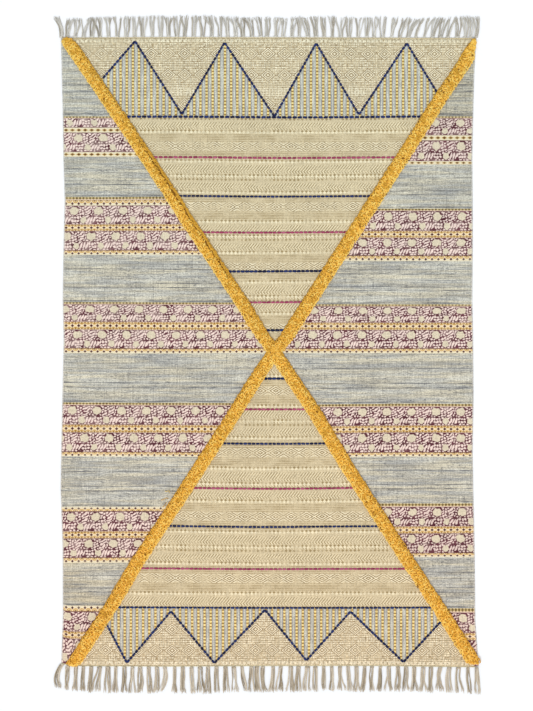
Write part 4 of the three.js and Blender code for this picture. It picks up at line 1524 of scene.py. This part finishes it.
# A thread's end colour is painted shade where each stitch dives into the cloth.
navy = yarn_material(
    "Navy thread", [(12, 20, 58), (15, 26, 70), (20, 35, 86), (32, 50, 108)],
    (11, 17, 50), turns=1.5, core=0.6, plies=6.0,
)
magenta = yarn_material(
    "Magenta thread", [(146, 49, 87), (154, 55, 93), (167, 66, 104), (186, 94, 128)],
    (130, 42, 76), turns=1.5, core=0.5, plies=6.0,
)
zigzag_runs = [run for line in (ZIGZAG_TOP, ZIGZAG_BOTTOM) for run in zip(line[:-1], line[1:])]
# Each run of stitches has its lines, pitch, cover, width and seed.
navy_runs = [
    (lines_between_bars(NAVY_LINES[:1]), 15.2, 0.98, 7.0, 30),
    (lines_between_bars(NAVY_LINES[2:5]), 12.4, 1.06, 7.2, 31),
    (lines_between_bars(NAVY_LINES[1:2] + NAVY_LINES[5:]), 12.4, 1.02, 6.2, 34),
    (zigzag_runs, 12.2, 1.0, 6.9, 32),
]
magenta_runs = [
    (lines_between_bars(MAGENTA_LINES[:1]), 14.6, 0.98, 6.2, 33),
    (lines_between_bars(MAGENTA_LINES[1:]), 13.0, 1.05, 6.2, 35),
]
navy_stitches = yarn_piece("stitches_navy", [stitches(*run) for run in navy_runs], navy)
magenta_stitches = yarn_piece("stitches_magenta", [stitches(*run) for run in magenta_runs], magenta)
for run in (navy_stitches, magenta_stitches):
    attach(run, "root")

fringe_yarn = {
    "fringe_top": yarn_material(
        "Undyed fringe yarn", [(188, 182, 167), (206, 201, 188), (221, 219, 210), (237, 236, 230)],
        (220, 218, 209), turns=6.0, core=0.3,
    ),
    "fringe_bottom": yarn_material(
        "Tan fringe yarn", [(168, 152, 127), (192, 177, 152), (214, 200, 178), (236, 225, 206)],
        (232, 220, 203), turns=6.0, core=0.4,
    ),
}
binding = yarn_material(
    "Binding yarn", [(176, 158, 116), (204, 188, 146), (222, 209, 172), (238, 229, 198)],
    (186, 168, 126), turns=3.0, core=0.2,
)
for order, name in enumerate(FRINGES):
    fringe = fringe_piece(name, 71 + order, [fringe_yarn[name], binding])
    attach(fringe, "root")
    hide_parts(name)

# ---------------------------------------------------------------- floor, light and camera


def pale_floor():
    """A plain level square of pale floor, open under the rug's middle so that its back is lit."""
    half, opening, low = 40.0, (0.58, 0.89), -0.0002
    corners = np.array([(-1, -1), (1, -1), (1, 1), (-1, 1)])
    flat = np.concatenate([corners * half, corners * opening])
    points = np.column_stack([flat, np.full(8, low)])
    mesh = bpy.data.meshes.new("floor")
    mesh.from_pydata(points.tolist(), [], [(0, 1, 5, 4), (1, 2, 6, 5), (2, 3, 7, 6), (3, 0, 4, 7)])
    material, tree = new_material("Pale floor")
    shader = tree.nodes["Principled BSDF"]
    shader.inputs["Base Color"].default_value = (0.93, 0.955, 0.99, 1)
    shader.inputs["Roughness"].default_value = 0.9
    mesh.materials.append(material)
    floor = placed("floor", mesh)


def daylight():
    """Even white light from all round, and a soft sun from below the rug's lower left corner."""
    world = bpy.data.worlds.new("Even light")
    world.use_nodes = True
    world.node_tree.nodes["Background"].inputs["Color"].default_value = (1, 1, 1, 1)
    world.node_tree.nodes["Background"].inputs["Strength"].default_value = 0.78
    bpy.context.scene.world = world
    lamp = bpy.data.lights.new("sun", "SUN")
    lamp.energy = 1.22
    lamp.angle = math.radians(12)
    sun = placed("sun", lamp)
    sun.rotation_euler = (math.radians(37), 0, math.radians(-15))


def camera():
    """Straight down on the rug's middle, from 4.5 m."""
    height, view_height, sensor, aside = 4.5, 2.0975, 36.0, -0.0044
    lens = bpy.data.cameras.new("camera")
    lens.sensor_fit = "VERTICAL"
    lens.sensor_height = sensor
    lens.lens = sensor * height / view_height
    eye = placed("camera", lens)
    eye.location = (aside, aside, height)
    bpy.context.scene.camera = eye


pale_floor()
daylight()
camera()
bpy.context.scene.view_settings.view_transform = "Standard"
